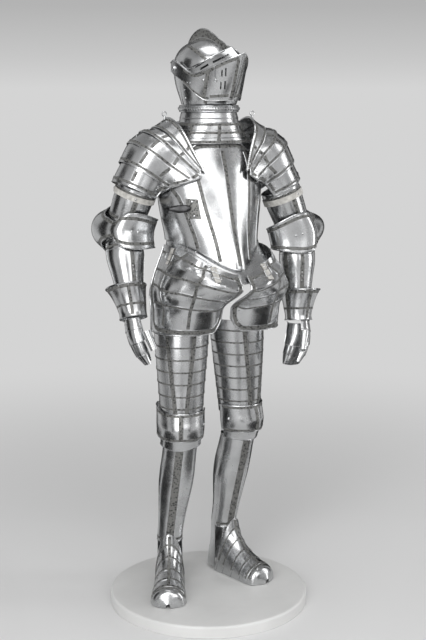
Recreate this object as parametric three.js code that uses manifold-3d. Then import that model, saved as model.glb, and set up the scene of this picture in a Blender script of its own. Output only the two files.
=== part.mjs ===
// A suit of plate armour standing on a round plinth. Millimetres, +Z up, origin under the plinth's centre.
// The suit faces -Y. "Right" and "left" are the wearer's: left is +X. Heights in the tables are above the plinth.
import * as THREE from "three";
import Module from "manifold-3d";

const wasm = await Module();
wasm.setup();

// ---- Driving sizes ----
const PLINTH = { radius: 318, height: 38, round: 8 };
const SUIT_AT = [20, 40];
const PLATE = 1.8;
const LAME_STEP = 4.2;
const GAP = 0.4;
const FULL = 360;
const HELMET_TURN = 10;
const PIVOT = { forward: -35, height: 1660, out: 104 };

// ---- Finishes ----
const STEEL = { color: 0xb9bbbc, roughness: 0.28, metalness: 1 };
const ETCHED = { color: 0x7d7c79, roughness: 0.5, metalness: 1 };
const LEATHER = { color: 0xcfc8ba, roughness: 0.8, metalness: 0 };
const PAINT = { color: 0xd9d9d8, roughness: 0.6, metalness: 0 };

// ---- Sections of the body, each row a height ----
const TORSO = rows(["z", "side", "front", "back", "keel"], [
  [1040, 150, 205, 112, 26],
  [1075, 146, 205, 112, 26],
  [1110, 142, 196, 112, 22],
  [1150, 144, 184, 114, 15],
  [1200, 154, 166, 120, 11],
  [1250, 163, 151, 127, 9],
  [1310, 167, 134, 132, 7],
  [1360, 169, 118, 133, 6],
  [1400, 157, 100, 122, 5],
  [1432, 128, 86, 104, 4],
  [1450, 100, 80, 92, 4],
]);
const GORGET = rows(["z", "side", "front", "back"], [
  [1434, 136, 97.5, 111],
  [1455, 117, 97.5, 104],
  [1475, 106, 98, 100],
  [1498, 98, 98, 98],
]);
const SKULL = rows(["z", "side", "front", "back"], [
  [1549.6, 84, 84, 84],
  [1575, 88, 86, 100],
  [1600, 92.5, 88, 116],
  [1630, 94.5, 95, 130],
  [1660, 95, 102, 135],
  [1690, 90, 97, 131],
  [1715, 74, 77, 119],
  [1732, 52, 51, 98],
  [1741, 29, 27, 72],
  [1745.5, 9, 8, 38],
]);
const LOWER_BEVOR = rows(["z", "side", "front", "back"], [
  [1549.6, 84, 84, 84],
  [1565, 88, 93, 94],
  [1600, 94, 104, 112],
  [1632, 96.5, 110, 128],
]);
const BEVOR_EDGE = rows(["t", "low", "top"], [
  [0, 1564, 1701],
  [0.22, 1564, 1684],
  [0.43, 1565, 1660],
  [0.63, 1587, 1642],
  [0.75, 1605, 1649],
  [0.88, 1625, 1668],
  [1, 1640, 1683],
  [1.12, 1652, 1676],
]);
const VISOR_EDGE = rows(["t", "low", "top"], [
  [0, 1690, 1722],
  [0.42, 1655, 1687],
  [0.64, 1636, 1663],
  [0.8, 1638, 1658],
  [1, 1650, 1672],
]);
const COMB = rows(["turn", "reach", "rise"], [
  [22, 129, 26],
  [29, 122, 20],
  [41, 110, 16],
  [61, 96, 21],
  [76, 89, 29],
  [95, 86.5, 32.5],
  [114, 89, 27],
  [131, 95.7, 16],
  [147, 100.4, 2],
]);

// ---- Limbs: where each joint lies beside and behind the suit's axis ----
const LEGS = {
  right: { hip: [-95, 0, 880], knee: [-105, -20, 520], ankle: [-127, 30, 170], turn: -24 },
  left: { hip: [92, 0, 880], knee: [112, 7, 520], ankle: [94, 90, 170], turn: 20 },
};
const ARMS = {
  right: {
    shoulder: [-190, 0, 1425],
    elbow: [-268, 60, 1167],
    wrist: [-270, -40, 915],
    turn: -24,
    cop: 212,
    wing: 58,
  },
  left: {
    shoulder: [190, 0, 1425],
    elbow: [303, -15, 1135],
    wrist: [288, -60, 871],
    turn: 14,
    cop: 112,
    wing: 44,
  },
};
const THIGH = rows(["z", "side", "front", "back"], [
  [885, 90, 94, 82],
  [790, 84, 90, 79],
  [670, 74, 80, 73],
  [600, 69, 73.5, 68],
  [570, 67, 71, 66],
]);
const KNEE = rows(["z", "side", "front", "back"], [
  [474, 60, 61, 60],
  [498, 66, 70, 63],
  [522, 71, 80, 66],
  [548, 73, 85, 68],
  [574, 73, 81, 69],
  [600, 73, 77, 71],
]);
const SHIN = rows(["z", "side", "front", "back"], [
  [12, 44, 52, 64],
  [50, 42, 50, 60],
  [95, 41, 46, 50],
  [150, 41, 44, 44],
  [200, 42, 43, 45],
  [250, 45, 45, 50],
  [300, 50, 48, 60],
  [350, 55, 52, 67],
  [400, 56, 54, 68],
  [450, 54.5, 55, 62],
  [490, 55, 57, 57],
]);
const TASSET = rows(["z", "centre", "inner", "outer", "deep"], [
  [1130, 78, 92, 80, 170],
  [1085, 93, 104, 86, 178],
  [1030, 102, 114, 95, 176],
  [985, 105, 118, 99, 164],
  [940, 105, 118, 100, 148],
  [860, 105, 112, 100, 118],
]);
const PAULDRON = rows(["t", "x", "z", "slope", "out", "low", "front", "back", "ends", "narrow"], [
  [0, 102, 1430, 67, 87, 96, 92, 95, 150, 0],
  [0.25, 126, 1418, 53, 84, 84, 98, 98, 150, 0],
  [0.45, 156, 1412, 45, 85, 118, 100, 98, 150, 0],
  [0.65, 186, 1384, 38, 88, 110, 94, 92, 150, 0.15],
  [0.85, 213, 1337, 33, 82, 86, 84, 84, 136, 0.75],
  [1, 235, 1290, 25, 77, 77, 78, 78, 128, 1],
]);

// ---- Small sums ----
function rows(names, table) {
  return table.map((values) => Object.fromEntries(names.map((name, i) => [name, values[i]])));
}

function sine(degrees) {
  return Math.sin(THREE.MathUtils.degToRad(degrees));
}

function cosine(degrees) {
  return Math.cos(THREE.MathUtils.degToRad(degrees));
}

const mix = THREE.MathUtils.lerp;

// Every column of a table at one value of its first column, smooth through the rows.
function rowAt(table, value) {
  const [key, ...columns] = Object.keys(table[0]);
  const sign = Math.sign(table.at(-1)[key] - table[0][key]);
  let i = 0;
  while (i < table.length - 2 && sign * (value - table[i + 1][key]) > 0) {
    i += 1;
  }
  const [a, b] = [table[i], table[i + 1]];
  const before = table[i - 1] ?? a;
  const after = table[i + 2] ?? b;
  const span = b[key] - a[key];
  const t = THREE.MathUtils.clamp((value - a[key]) / span, 0, 1);
  const found = { [key]: value };
  for (const name of columns) {
    const m0 = ((b[name] - before[name]) / (b[key] - before[key])) * span;
    const m1 = ((after[name] - a[name]) / (after[key] - a[key])) * span;
    const curve = (2 * t ** 3 - 3 * t ** 2 + 1) * a[name] + (t ** 3 - 2 * t ** 2 + t) * m0;
    found[name] = curve + (3 * t ** 2 - 2 * t ** 3) * b[name] + (t ** 3 - t ** 2) * m1;
  }
  return found;
}

// A point round a body section: angle 0 is its front, 90 its left side. `out` moves it out from the section.
function around(section, angle, out = 0) {
  const depth = cosine(angle) > 0 ? section.front : section.back;
  const keel = (section.keel ?? 0) * Math.exp(-((angle / 16) ** 2));
  return [(section.side + out) * sine(angle), -(depth + out) * cosine(angle) - keel, section.z];
}

// ---- Plates ----
// A wall of even thickness. surface(u, v) is its outer face, u across and v along, both from 0 to 1.
// The length is shared by `lames`: each starts sunk by `step` and rises to the face at its far edge.
// `inside` is a point on the hollow side, for a plate whose own middle lies outside it.
function plate({ across, along, surface, round = false, thickness = PLATE, lames = 1, step = 0, inside }) {
  const lines = [];
  for (let k = 0; k < lames; k += 1) {
    for (let j = 0; j <= along; j += 1) {
      lines.push({ v: (k + j / along) / lames, lift: -step * (1 - j / along) });
    }
  }
  const columns = round ? across : across + 1;
  const point = (u, v) => new THREE.Vector3(...surface(round ? u - Math.floor(u) : u, v));
  const outer = [];
  const normals = [];
  for (const { v } of lines) {
    for (let i = 0; i < columns; i += 1) {
      const u = i / across;
      const e = 0.002;
      const [u0, u1] = round ? [u - e, u + e] : [Math.max(u - e, 0), Math.min(u + e, 1)];
      const along0 = point(u, Math.max(v - e, 0));
      const along1 = point(u, Math.min(v + e, 1));
      const acrossStep = point(u1, v).sub(point(u0, v));
      normals.push(acrossStep.cross(along1.sub(along0)).normalize());
      outer.push(point(u, v));
    }
  }
  const middle = new THREE.Vector3();
  outer.forEach((p) => middle.addScaledVector(p, 1 / outer.length));
  const core = inside ? new THREE.Vector3(...inside) : middle;
  const facing = outer.reduce((sum, p, k) => sum + normals[k].dot(p.clone().sub(core)), 0) > 0 ? 1 : -1;
  const positions = [];
  for (const depth of [0, thickness]) {
    outer.forEach((p, k) => {
      const lift = lines[Math.floor(k / columns)].lift;
      positions.push(...p.clone().addScaledVector(normals[k], facing * (lift - depth)).toArray());
    });
  }
  const faces = [];
  const half = outer.length;
  const quad = (a, b, c, d) => faces.push(a, b, c, a, c, d);
  const last = lines.length - 1;
  for (let j = 0; j <= last; j += 1) {
    for (let i = 0; i < across; i += 1) {
      const a = j * columns + i;
      const b = j * columns + ((i + 1) % columns);
      if (j < last) {
        quad(a, b, b + columns, a + columns);
        quad(half + b, half + a, half + a + columns, half + b + columns);
      }
      if (j === 0) {
        quad(b, a, half + a, half + b);
      }
      if (j === last) {
        quad(a, b, half + b, half + a);
      }
    }
    if (!round && j < last) {
      const a = j * columns;
      const b = a + columns - 1;
      quad(a, a + columns, half + a + columns, half + a);
      quad(b + columns, b, half + b, half + b + columns);
    }
  }
  return solid(positions, faces);
}

// An indexed geometry whose faces look outward.
function solid(positions, faces) {
  const at = (k) => new THREE.Vector3().fromArray(positions, 3 * k);
  let volume = 0;
  for (let k = 0; k < faces.length; k += 3) {
    volume += at(faces[k]).dot(at(faces[k + 1]).cross(at(faces[k + 2])));
  }
  const order = volume > 0 ? faces : faces.toReversed();
  const geometry = new THREE.BufferGeometry();
  geometry.setAttribute("position", new THREE.Float32BufferAttribute(positions, 3));
  geometry.setIndex(order);
  geometry.computeVertexNormals();
  return geometry;
}

function toManifold(geometry) {
  const mesh = new wasm.Mesh({
    numProp: 3,
    vertProperties: new Float32Array(geometry.attributes.position.array),
    triVerts: new Uint32Array(geometry.index.array),
  });
  mesh.merge();
  return new wasm.Manifold(mesh);
}

function fromManifold(body) {
  const mesh = body.getMesh();
  return solid(Array.from(mesh.vertProperties), Array.from(mesh.triVerts));
}

// A solid of revolution about Z: rows of [radius, height] that start and end on the axis or close on themselves.
function turned(profile, segments) {
  const points = profile.map(([x, y]) => new THREE.Vector2(x, y));
  const lathe = new THREE.LatheGeometry(points, segments);
  lathe.rotateX(Math.PI / 2);
  return lathe;
}

const suit = new THREE.Group();
const helmet = new THREE.Group();
suit.position.set(...SUIT_AT, PLINTH.height);
helmet.rotation.z = THREE.MathUtils.degToRad(HELMET_TURN);
suit.add(helmet);

function add(name, geometry, finish, group = suit) {
  const mesh = new THREE.Mesh(geometry, new THREE.MeshStandardMaterial(finish));
  mesh.name = name;
  group.add(mesh);
  return mesh;
}

// ---- Plinth: a turned wooden disc with a rounded top edge ----
const ROUND_STEPS = 3;
const edge = Array.from({ length: ROUND_STEPS + 1 }, (_, k) => {
  const turn = (90 * k) / ROUND_STEPS;
  const inset = PLINTH.round * (1 - cosine(turn));
  return [PLINTH.radius - inset, PLINTH.height - PLINTH.round * (1 - sine(turn))];
});
const disc = [[0, 0], [PLINTH.radius, 0], ...edge, [0, PLINTH.height]];
const group = new THREE.Group();
add("plinth", turned(disc, 48), PAINT, group);

// ---- Breastplate and backplate ----
const SEAM = 0.12;
const BREAST_TOP = rows(["angle", "z"], [
  [0, 1439],
  [22, 1439],
  [36, 1430],
  [48, 1396],
  [62, 1338],
  [76, 1296],
  [90, 1282],
]);
const PEASCOD = { side: 1137, drop: 70 };

function breastLow(angle) {
  return PEASCOD.side - PEASCOD.drop * Math.max(cosine(angle), 0) ** 4;
}

function torso(angle, z, out) {
  return around(rowAt(TORSO, z), angle, out);
}

add("breastplate", plate({
  across: 16,
  along: 6,
  inside: [0, 0, 1250],
  surface: (u, v) => {
    const angle = mix(-90 + SEAM, 90 - SEAM, u);
    return torso(angle, mix(breastLow(angle), rowAt(BREAST_TOP, Math.abs(angle)).z, v));
  },
}), STEEL);
add("backplate", plate({
  across: 12,
  along: 4,
  inside: [0, 0, 1250],
  surface: (u, v) => {
    const angle = mix(90 + SEAM, 270 - SEAM, u);
    return torso(angle, mix(PEASCOD.side, rowAt(BREAST_TOP, Math.abs(180 - angle)).z, v));
  },
}), STEEL);

// ---- Skirt of lames under the waist, front and back ----
const SKIRT = {
  tuck: -4.8,
  flare: 44,
  drop: 46,
  power: 1.2,
  under: 4,
  side: 34,
  middle: 4,
  behind: 1042,
  hips: 0.28,
  rear: 0.34,
};

// How far the skirt stands out from the waist's own form, this far below the plate's lower edge:
// most at the front, least at the hips.
function flare(below, angle) {
  const ease = mix(1, SKIRT.hips, THREE.MathUtils.smoothstep(angle, 50, 88))
    + SKIRT.rear * THREE.MathUtils.smoothstep(angle, 110, 150);
  return SKIRT.tuck + SKIRT.flare * (Math.max(below * ease, 0) / SKIRT.drop) ** SKIRT.power;
}

add("fauld", plate({
  across: 16,
  along: 1,
  lames: 2,
  step: 1.2,
  inside: [0, 0, 1100],
  surface: (u, v) => {
    const angle = mix(-90 + SEAM, 90 - SEAM, u);
    const edge = breastLow(angle);
    const z = mix(edge + SKIRT.under, edge - SKIRT.side - SKIRT.middle * cosine(angle) ** 4, v);
    return torso(angle, z, flare(edge - z, Math.abs(angle)));
  },
}), STEEL);
add("culet", plate({
  across: 12,
  along: 1,
  lames: 3,
  step: 1.2,
  inside: [0, 0, 1100],
  surface: (u, v) => {
    const angle = mix(90 + SEAM, 270 - SEAM, u);
    const z = mix(PEASCOD.side + SKIRT.under, SKIRT.behind, v);
    return torso(angle, z, flare(PEASCOD.side - z, 180 - Math.abs(180 - angle)));
  },
}), STEEL);

// ---- Collar: a gorget plate and two neck lames ----
add("gorget_plate", plate({
  across: 20,
  along: 2,
  round: true,
  surface: (u, v) => around(rowAt(GORGET, mix(GORGET[0].z, GORGET.at(-1).z, v)), FULL * u),
}), STEEL);
const NECK = { low: 1490, high: 1530, wide: 93.4, narrow: 85 };
add("neck_lames", plate({
  across: 20,
  along: 1,
  lames: 2,
  step: -1.2,
  round: true,
  thickness: 1.6,
  surface: (u, v) => {
    const radius = mix(NECK.wide, NECK.narrow, v);
    return [radius * sine(FULL * u), -radius * cosine(FULL * u), mix(NECK.low, NECK.high, v)];
  },
}), STEEL);

// ---- Helmet: skull with comb, lower bevor, upper bevor, visor and roped rim ----
const RIM = [[87.4, 1527], [89.5, 1527], [92, 1534], [92, 1542], [89, 1548.8], [86.5, 1548.8], [88, 1541], [88, 1534]];
add("helmet_rim", turned([...RIM, RIM[0]], 20), STEEL, helmet);

const bowl = plate({
  across: 20,
  along: 8,
  round: true,
  inside: [0, 20, 1640],
  surface: (u, v) => around(rowAt(SKULL, mix(SKULL[0].z, SKULL.at(-1).z, v)), FULL * u),
});
const COMB_SIZE = { foot: 8, crest: 3, sunk: 5 };

// The comb is a ridge across the crown: `turn` goes round the pivots' axis, from the brow to the back.
function combGeometry() {
  const steps = 14;
  const positions = [];
  for (let j = 0; j <= steps; j += 1) {
    const row = rowAt(COMB, mix(COMB[0].turn, COMB.at(-1).turn, j / steps));
    const ring = [
      [COMB_SIZE.foot, row.reach - COMB_SIZE.sunk],
      [COMB_SIZE.crest, row.reach + row.rise * 0.8],
      [0, row.reach + row.rise],
      [-COMB_SIZE.crest, row.reach + row.rise * 0.8],
      [-COMB_SIZE.foot, row.reach - COMB_SIZE.sunk],
    ];
    for (const [x, reach] of ring) {
      positions.push(x, -PIVOT.forward - reach * cosine(row.turn), PIVOT.height + reach * sine(row.turn));
    }
  }
  const sides = 5;
  const faces = [];
  for (let j = 0; j < steps; j += 1) {
    for (let i = 0; i < sides; i += 1) {
      const a = j * sides + i;
      const b = j * sides + ((i + 1) % sides);
      faces.push(a, b, b + sides, a, b + sides, a + sides);
    }
  }
  for (let i = 1; i < sides - 1; i += 1) {
    const end = steps * sides;
    faces.push(0, i + 1, i, end, end + i, end + i + 1);
  }
  return solid(positions, faces);
}

const FACE = { hinge: [20, 1638], slope: 23.5, reach: 300, floor: 1500 };
const brow = wasm.Manifold.cube([FACE.reach, FACE.reach, FACE.reach], false)
  .translate([-FACE.reach / 2, -FACE.reach, -FACE.reach])
  .rotate([-FACE.slope, 0, 0])
  .translate([0, ...FACE.hinge]);
const cheeks = wasm.Manifold.cube([FACE.reach, FACE.reach, FACE.hinge[1] - FACE.floor], false)
  .translate([-FACE.reach / 2, FACE.hinge[0] - FACE.reach, FACE.floor]);
const skull = toManifold(bowl).add(toManifold(combGeometry())).subtract(brow).subtract(cheeks);
add("helmet_skull", fromManifold(skull), STEEL, helmet);

add("lower_bevor", plate({
  across: 14,
  along: 2,
  inside: [0, 0, 1580],
  surface: (u, v) => {
    const z = mix(LOWER_BEVOR[0].z, LOWER_BEVOR.at(-1).z, v);
    return around(rowAt(LOWER_BEVOR, z), mix(-98, 98, u));
  },
}), STEEL, helmet);

const PROW = { low: 123, top: 186, side: 104, round: 1.4, behind: 150, foot: 1564, rise: 137, swell: 0.85 };

// Half plan of a piece that hangs on the pivots: t runs from the ridge (0) to the pivot (1) and on behind it.
function prow(t, reach, half, round) {
  const s = Math.min(Math.abs(t), 1);
  const behind = Math.max(Math.abs(t) - 1, 0) * PROW.behind;
  const x = Math.sign(t) * half * sine(90 * s);
  return [x, -(PIVOT.forward + (reach - PIVOT.forward) * (1 - s ** round) - behind)];
}

add("upper_bevor", plate({
  across: 20,
  along: 3,
  inside: [0, 0, 1630],
  surface: (u, v) => {
    const t = mix(-1.12, 1.12, u);
    const row = rowAt(BEVOR_EDGE, Math.abs(t));
    const z = mix(row.low, row.top, v);
    const reach = mix(PROW.low, PROW.top, (Math.max(z - PROW.foot, 0) / PROW.rise) ** PROW.swell);
    return [...prow(t, reach, PROW.side, PROW.round), z];
  },
}), STEEL, helmet);

const VISOR = { reach: [163, 118], round: [1.37, 1.93], side: 100.8 };
add("visor", plate({
  across: 20,
  along: 1,
  inside: [0, 0, 1600],
  surface: (u, v) => {
    const t = mix(-1, 1, u);
    const row = rowAt(VISOR_EDGE, Math.abs(t));
    return [...prow(t, mix(...VISOR.reach, v), VISOR.side, mix(...VISOR.round, v)), mix(row.low, row.top, v)];
  },
}), STEEL, helmet);

const BOLT = [[0, 0], [9, 0], [8.4, 3], [5.5, 6], [0, 7.5]];
for (const [side, sign] of [["right", -1], ["left", 1]]) {
  const bolt = add(`pivot_bolt_${side}`, turned(BOLT, 10), STEEL, helmet);
  bolt.rotation.y = (sign * Math.PI) / 2;
  bolt.position.set(sign * (PIVOT.out + GAP), -PIVOT.forward, PIVOT.height);
}

// ---- Pauldrons: lames fanned over each shoulder, from the neck side round to the arm ----
const SHOULDER_LAMES = [0, 0.25, 0.45, 0.65, 0.85, 1];
const SHOULDER = { overlap: [0, 0.035, 0.035, 0.035, 0.02], step: [0, 1, 1, 1, 1.9], clear: 12, soften: 6 };

// Depth of the body below a point of the pauldron, before or behind the shoulder.
function bodyDepth(x, z, ahead) {
  const section = rowAt(TORSO, z);
  const share = Math.min(x / (section.side + SHOULDER.clear), 1);
  return (ahead ? section.front : section.back) * Math.sqrt(1 - share ** 2);
}

// `t` runs from the neck side down to the arm. `u` runs from the chest over the top to the back.
function shoulder(sign, t, u) {
  const row = rowAt(PAULDRON, t);
  const swing = mix(-row.ends, row.ends, u);
  const rise = (cosine(swing) > 0 ? row.out : row.low) * cosine(swing);
  const x = row.x + rise * cosine(row.slope);
  const z = row.z + rise * sine(row.slope);
  const turn = Math.abs(swing);
  const round = mix(sine(Math.min(turn, 90)), sine(turn), row.narrow);
  const own = (swing < 0 ? row.front : row.back) * round;
  const arm = ARMS[sign < 0 ? "right" : "left"];
  const middle = mix(0, mix(arm.shoulder[1], arm.elbow[1], 0.45), t);
  const clear = SHOULDER.clear - Math.sign(swing) * middle;
  const body = (bodyDepth(x, z, swing < 0) + clear) * sine(Math.min(turn, 90));
  const power = SHOULDER.soften;
  const depth = (own ** power + Math.max(body, 0) ** power) ** (1 / power);
  return [sign * x, middle + Math.sign(swing) * depth, z];
}

for (const [side, sign] of [["right", -1], ["left", 1]]) {
  for (let k = 0; k < SHOULDER_LAMES.length - 1; k += 1) {
    const from = SHOULDER_LAMES[k] - SHOULDER.overlap[k];
    add(`pauldron_${k + 1}_${side}`, plate({
      across: 13,
      along: 2,
      step: SHOULDER.step[k] * LAME_STEP,
      inside: [sign * 190, 0, 1360],
      surface: (u, v) => shoulder(sign, mix(from, SHOULDER_LAMES[k + 1], v), u),
    }), STEEL);
  }
}

// ---- Limbs ----
// A limb's own frame: `share` runs down the path, angle 0 is the limb's front and 90 its left side.
function limbPoint(path, turn, share, angle, size) {
  const down = path.getTangent(share);
  const front = new THREE.Vector3().crossVectors(down, new THREE.Vector3(cosine(turn), sine(turn), 0)).normalize();
  const left = new THREE.Vector3().crossVectors(front, down);
  const deep = cosine(angle) > 0 ? size.front : size.back;
  const wide = sine(angle) > 0 ? size.left : size.right;
  const point = path.getPoint(share).addScaledVector(left, wide * sine(angle));
  return point.addScaledVector(front, deep * cosine(angle)).toArray();
}

function straight(from, to) {
  return new THREE.LineCurve3(new THREE.Vector3(...from), new THREE.Vector3(...to));
}

function evenly(radius) {
  return { front: radius, back: radius, left: radius, right: radius };
}

const UPPER_ARM = rows(["share", "radius"], [[0.48, 62], [0.66, 60], [0.9, 54]]);
const FOREARM = rows(["share", "radius"], [[0.11, 54], [0.3, 58], [0.5, 50], [0.74, 41]]);
const CUFF = rows(["share", "inner", "outer", "deep"], [
  [0.66, 50, 72, 70],
  [0.8, 45.5, 54, 55],
  [0.96, 41, 42, 44],
  [1.02, 41, 43, 45],
]);
const COUTER = {
  radius: 64,
  point: 62,
  wing: 10,
  spread: 24,
  waist: 29,
  cop: 22,
  outward: 54,
  inward: 90,
};
const HAND = rows(["share", "thick", "deep"], [[0, 32, 42], [0.25, 34, 48], [0.5, 32, 52]]);
const FINGERS = rows(["share", "thick", "deep"], [[0.51, 31, 51], [0.75, 27, 48], [1, 16, 38]]);
const HANDS = {
  right: { knuckles: [-262, -66, 842], tips: [-236, -84, 776], thumb: [[-256, -112, 880], [-240, -134, 826]] },
  left: { knuckles: [272, -86, 802], tips: [236, -112, 738], thumb: [[272, -136, 842], [252, -160, 788]] },
};
const STRAP = { share: [0.54, 0.6], radius: 66, thick: 2.4 };

for (const [side, sign] of [["right", -1], ["left", 1]]) {
  const { shoulder: top, elbow, wrist, turn, cop, wing } = ARMS[side];
  const upper = straight(top, elbow);
  const lower = straight(elbow, wrist);
  add(`upper_cannon_${side}`, plate({
    across: 16,
    along: 1,
    round: true,
    surface: (u, v) => {
      const row = rowAt(UPPER_ARM, mix(0.48, 0.9, v));
      return limbPoint(upper, turn, row.share, FULL * u, evenly(row.radius));
    },
  }), STEEL);
  add(`arm_strap_${side}`, plate({
    across: 16,
    along: 1,
    round: true,
    thickness: STRAP.thick,
    surface: (u, v) => limbPoint(upper, turn, mix(...STRAP.share, v), FULL * u, evenly(STRAP.radius)),
  }), LEATHER);

  // The couter goes right round the elbow: its cop lies behind, its round wing covers the bend in front,
  // and a narrow waist joins them on the outside.
  const bend = new THREE.CatmullRomCurve3([upper.getPoint(0.6), new THREE.Vector3(...elbow), lower.getPoint(0.4)]);
  const bendLength = bend.getLength();
  add(`couter_${side}`, plate({
    across: 26,
    along: 4,
    round: true,
    surface: (u, v) => {
      const angle = FULL * u;
      const behind = Math.exp(-(((angle - cop) / 52) ** 2));
      const inward = -sign * (((angle + sign * 35 + 180 + FULL) % FULL) - 180);
      const reach = inward < 0 ? COUTER.outward : COUTER.inward;
      const disc = Math.sqrt(Math.max(1 - (inward / reach) ** 2, 0));
      const across = 2 * v - 1;
      const bulge = 1 - across ** 2;
      const halfLength = COUTER.waist + wing * disc + COUTER.cop * behind;
      const spread = COUTER.wing + COUTER.spread * THREE.MathUtils.smoothstep(inward, 0, 70);
      const radius = COUTER.radius + 4 * bulge + COUTER.point * behind * bulge ** 1.6
        + spread * Math.exp(-((inward / reach) ** 8));
      return limbPoint(bend, turn, 0.5 + (across * halfLength) / bendLength, angle, evenly(radius));
    },
  }), STEEL);
  add(`lower_cannon_${side}`, plate({
    across: 16,
    along: 2,
    round: true,
    surface: (u, v) => {
      const row = rowAt(FOREARM, mix(0.11, 0.74, v));
      return limbPoint(lower, turn, row.share, FULL * u, evenly(row.radius));
    },
  }), STEEL);
  add(`gauntlet_cuff_${side}`, plate({
    across: 16,
    along: 2,
    round: true,
    surface: (u, v) => {
      const row = rowAt(CUFF, mix(0.66, 1.02, v));
      const size = { front: row.deep, back: row.deep, left: row.inner, right: row.outer };
      if (sign > 0) {
        [size.left, size.right] = [size.right, size.left];
      }
      return limbPoint(lower, turn, row.share, FULL * u, size);
    },
  }), STEEL);

  // Hand and fingers: lames over the back of the hand, open to the palm.
  const { knuckles, tips, thumb } = HANDS[side];
  const under = lower.getPoint(1.035).toArray();
  const palm = new THREE.CatmullRomCurve3([under, knuckles, tips].map((p) => new THREE.Vector3(...p)));
  const hand = (table, share, u, spread, ripple) => {
    const row = rowAt(table, share);
    const angle = sign * (90 + spread * (2 * u - 1));
    const grow = 1 + ripple * Math.abs(sine(FULL * u * 2));
    const size = { front: row.deep * grow, back: row.deep * grow, left: row.thick * grow, right: row.thick * grow };
    return limbPoint(palm, turn, share, angle, size);
  };
  add(`hand_lames_${side}`, plate({
    across: 8,
    along: 1,
    lames: 2,
    step: 1.2,
    inside: under,
    surface: (u, v) => hand(HAND, mix(0, 0.5, v), u, 125, 0),
  }), STEEL);
  add(`finger_lames_${side}`, plate({
    across: 10,
    along: 1,
    lames: 2,
    step: 1.2,
    inside: knuckles,
    surface: (u, v) => hand(FINGERS, mix(0.512, 1, v), u, 112, 0.05),
  }), STEEL);
  const thumbPath = straight(...thumb);
  add(`thumb_lames_${side}`, plate({
    across: 6,
    along: 1,
    lames: 2,
    step: 1,
    thickness: 1.5,
    inside: thumb[0],
    surface: (u, v) => limbPoint(thumbPath, turn, v, mix(-125, 125, u), evenly(mix(15, 11, v))),
  }), STEEL);
}

// ---- Tassets: long skirts of lames over the thighs ----
const TASSET_EDGE = {
  inner: -50,
  outer: 92,
  round: 50,
  bottom: 862,
  corner: 40,
  behind: -30,
  square: 0.75,
  under: 14,
  clear: 8,
  deepest: 58,
  leave: [930, 1030],
};
for (const [side, sign] of [["right", -1], ["left", 1]]) {
  add(`tasset_${side}`, plate({
    across: 10,
    along: 1,
    lames: 5,
    step: 1.2,
    inside: [sign * 105, 0, 950],
    // Near the top it lies on the skirt, and its outer side runs round the hip to the side seam.
    surface: (u, v) => {
      const angle = mix(TASSET_EDGE.inner, TASSET_EDGE.outer, u);
      const bodyAngle = Math.atan2(105 + 110 * sine(angle), 180) * THREE.MathUtils.RAD2DEG
        + TASSET_EDGE.round * Math.max(2 * u - 1, 0) ** 1.5;
      const top = breastLow(bodyAngle) - TASSET_EDGE.under;
      const rounding = TASSET_EDGE.corner * Math.max((-angle - 26) / 24, 0) ** 2;
      const z = mix(top, TASSET_EDGE.bottom + rounding, v);
      const row = rowAt(TASSET, z);
      const wide = angle < 0 ? row.inner : row.outer;
      const own = row.deep * Math.sign(cosine(angle)) * Math.abs(cosine(angle)) ** TASSET_EDGE.square;
      const x = row.centre + wide * sine(angle);
      const section = rowAt(TORSO, z);
      const below = breastLow(bodyAngle) - z;
      const out = flare(Math.min(below, TASSET_EDGE.deepest), bodyAngle) + TASSET_EDGE.clear;
      const share = Math.min(x / (section.side + out), 1);
      const body = (section.front + section.keel + out) * Math.sqrt(1 - share ** 2);
      const follow = THREE.MathUtils.smoothstep(z, ...TASSET_EDGE.leave);
      const depth = mix(own - TASSET_EDGE.behind, Math.max(own - TASSET_EDGE.behind, body), follow);
      const hip = torso(bodyAngle, z, flare(below, bodyAngle) + TASSET_EDGE.clear);
      const outer = THREE.MathUtils.smoothstep(u, 0.5, 1) * follow;
      return [sign * mix(x, hip[0], outer), -mix(depth, -hip[1], outer), z];
    },
  }), STEEL);
}

// ---- Legs ----
function legLine({ hip, knee, ankle }) {
  return [hip, knee, ankle, [ankle[0], ankle[1], 0]];
}

function legPoint(leg, section, angle, out = 0) {
  const line = legLine(leg);
  let k = 0;
  while (k < line.length - 2 && section.z < line[k + 1][2]) {
    k += 1;
  }
  const t = (line[k][2] - section.z) / (line[k][2] - line[k + 1][2]);
  const [x, y] = around(section, angle, out);
  const cx = mix(line[k][0], line[k + 1][0], t);
  const cy = mix(line[k][1], line[k + 1][1], t);
  return [cx + x * cosine(leg.turn) - y * sine(leg.turn), cy + x * sine(leg.turn) + y * cosine(leg.turn), section.z];
}

const SABATON = rows(["s", "half", "crest", "edge", "high"], [
  [0, 48.5, 53, 2, 188],
  [0.2, 48, 65, 14, 142],
  [0.4, 49, 95, 62, 102],
  [0.6, 53, 135, 116, 75],
  [0.8, 55, 170, 160, 60],
  [0.92, 45, 192, 188, 47],
  [1, 8, 205, 205, 16],
]);
const FOOT_CLEAR = 2;

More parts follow.
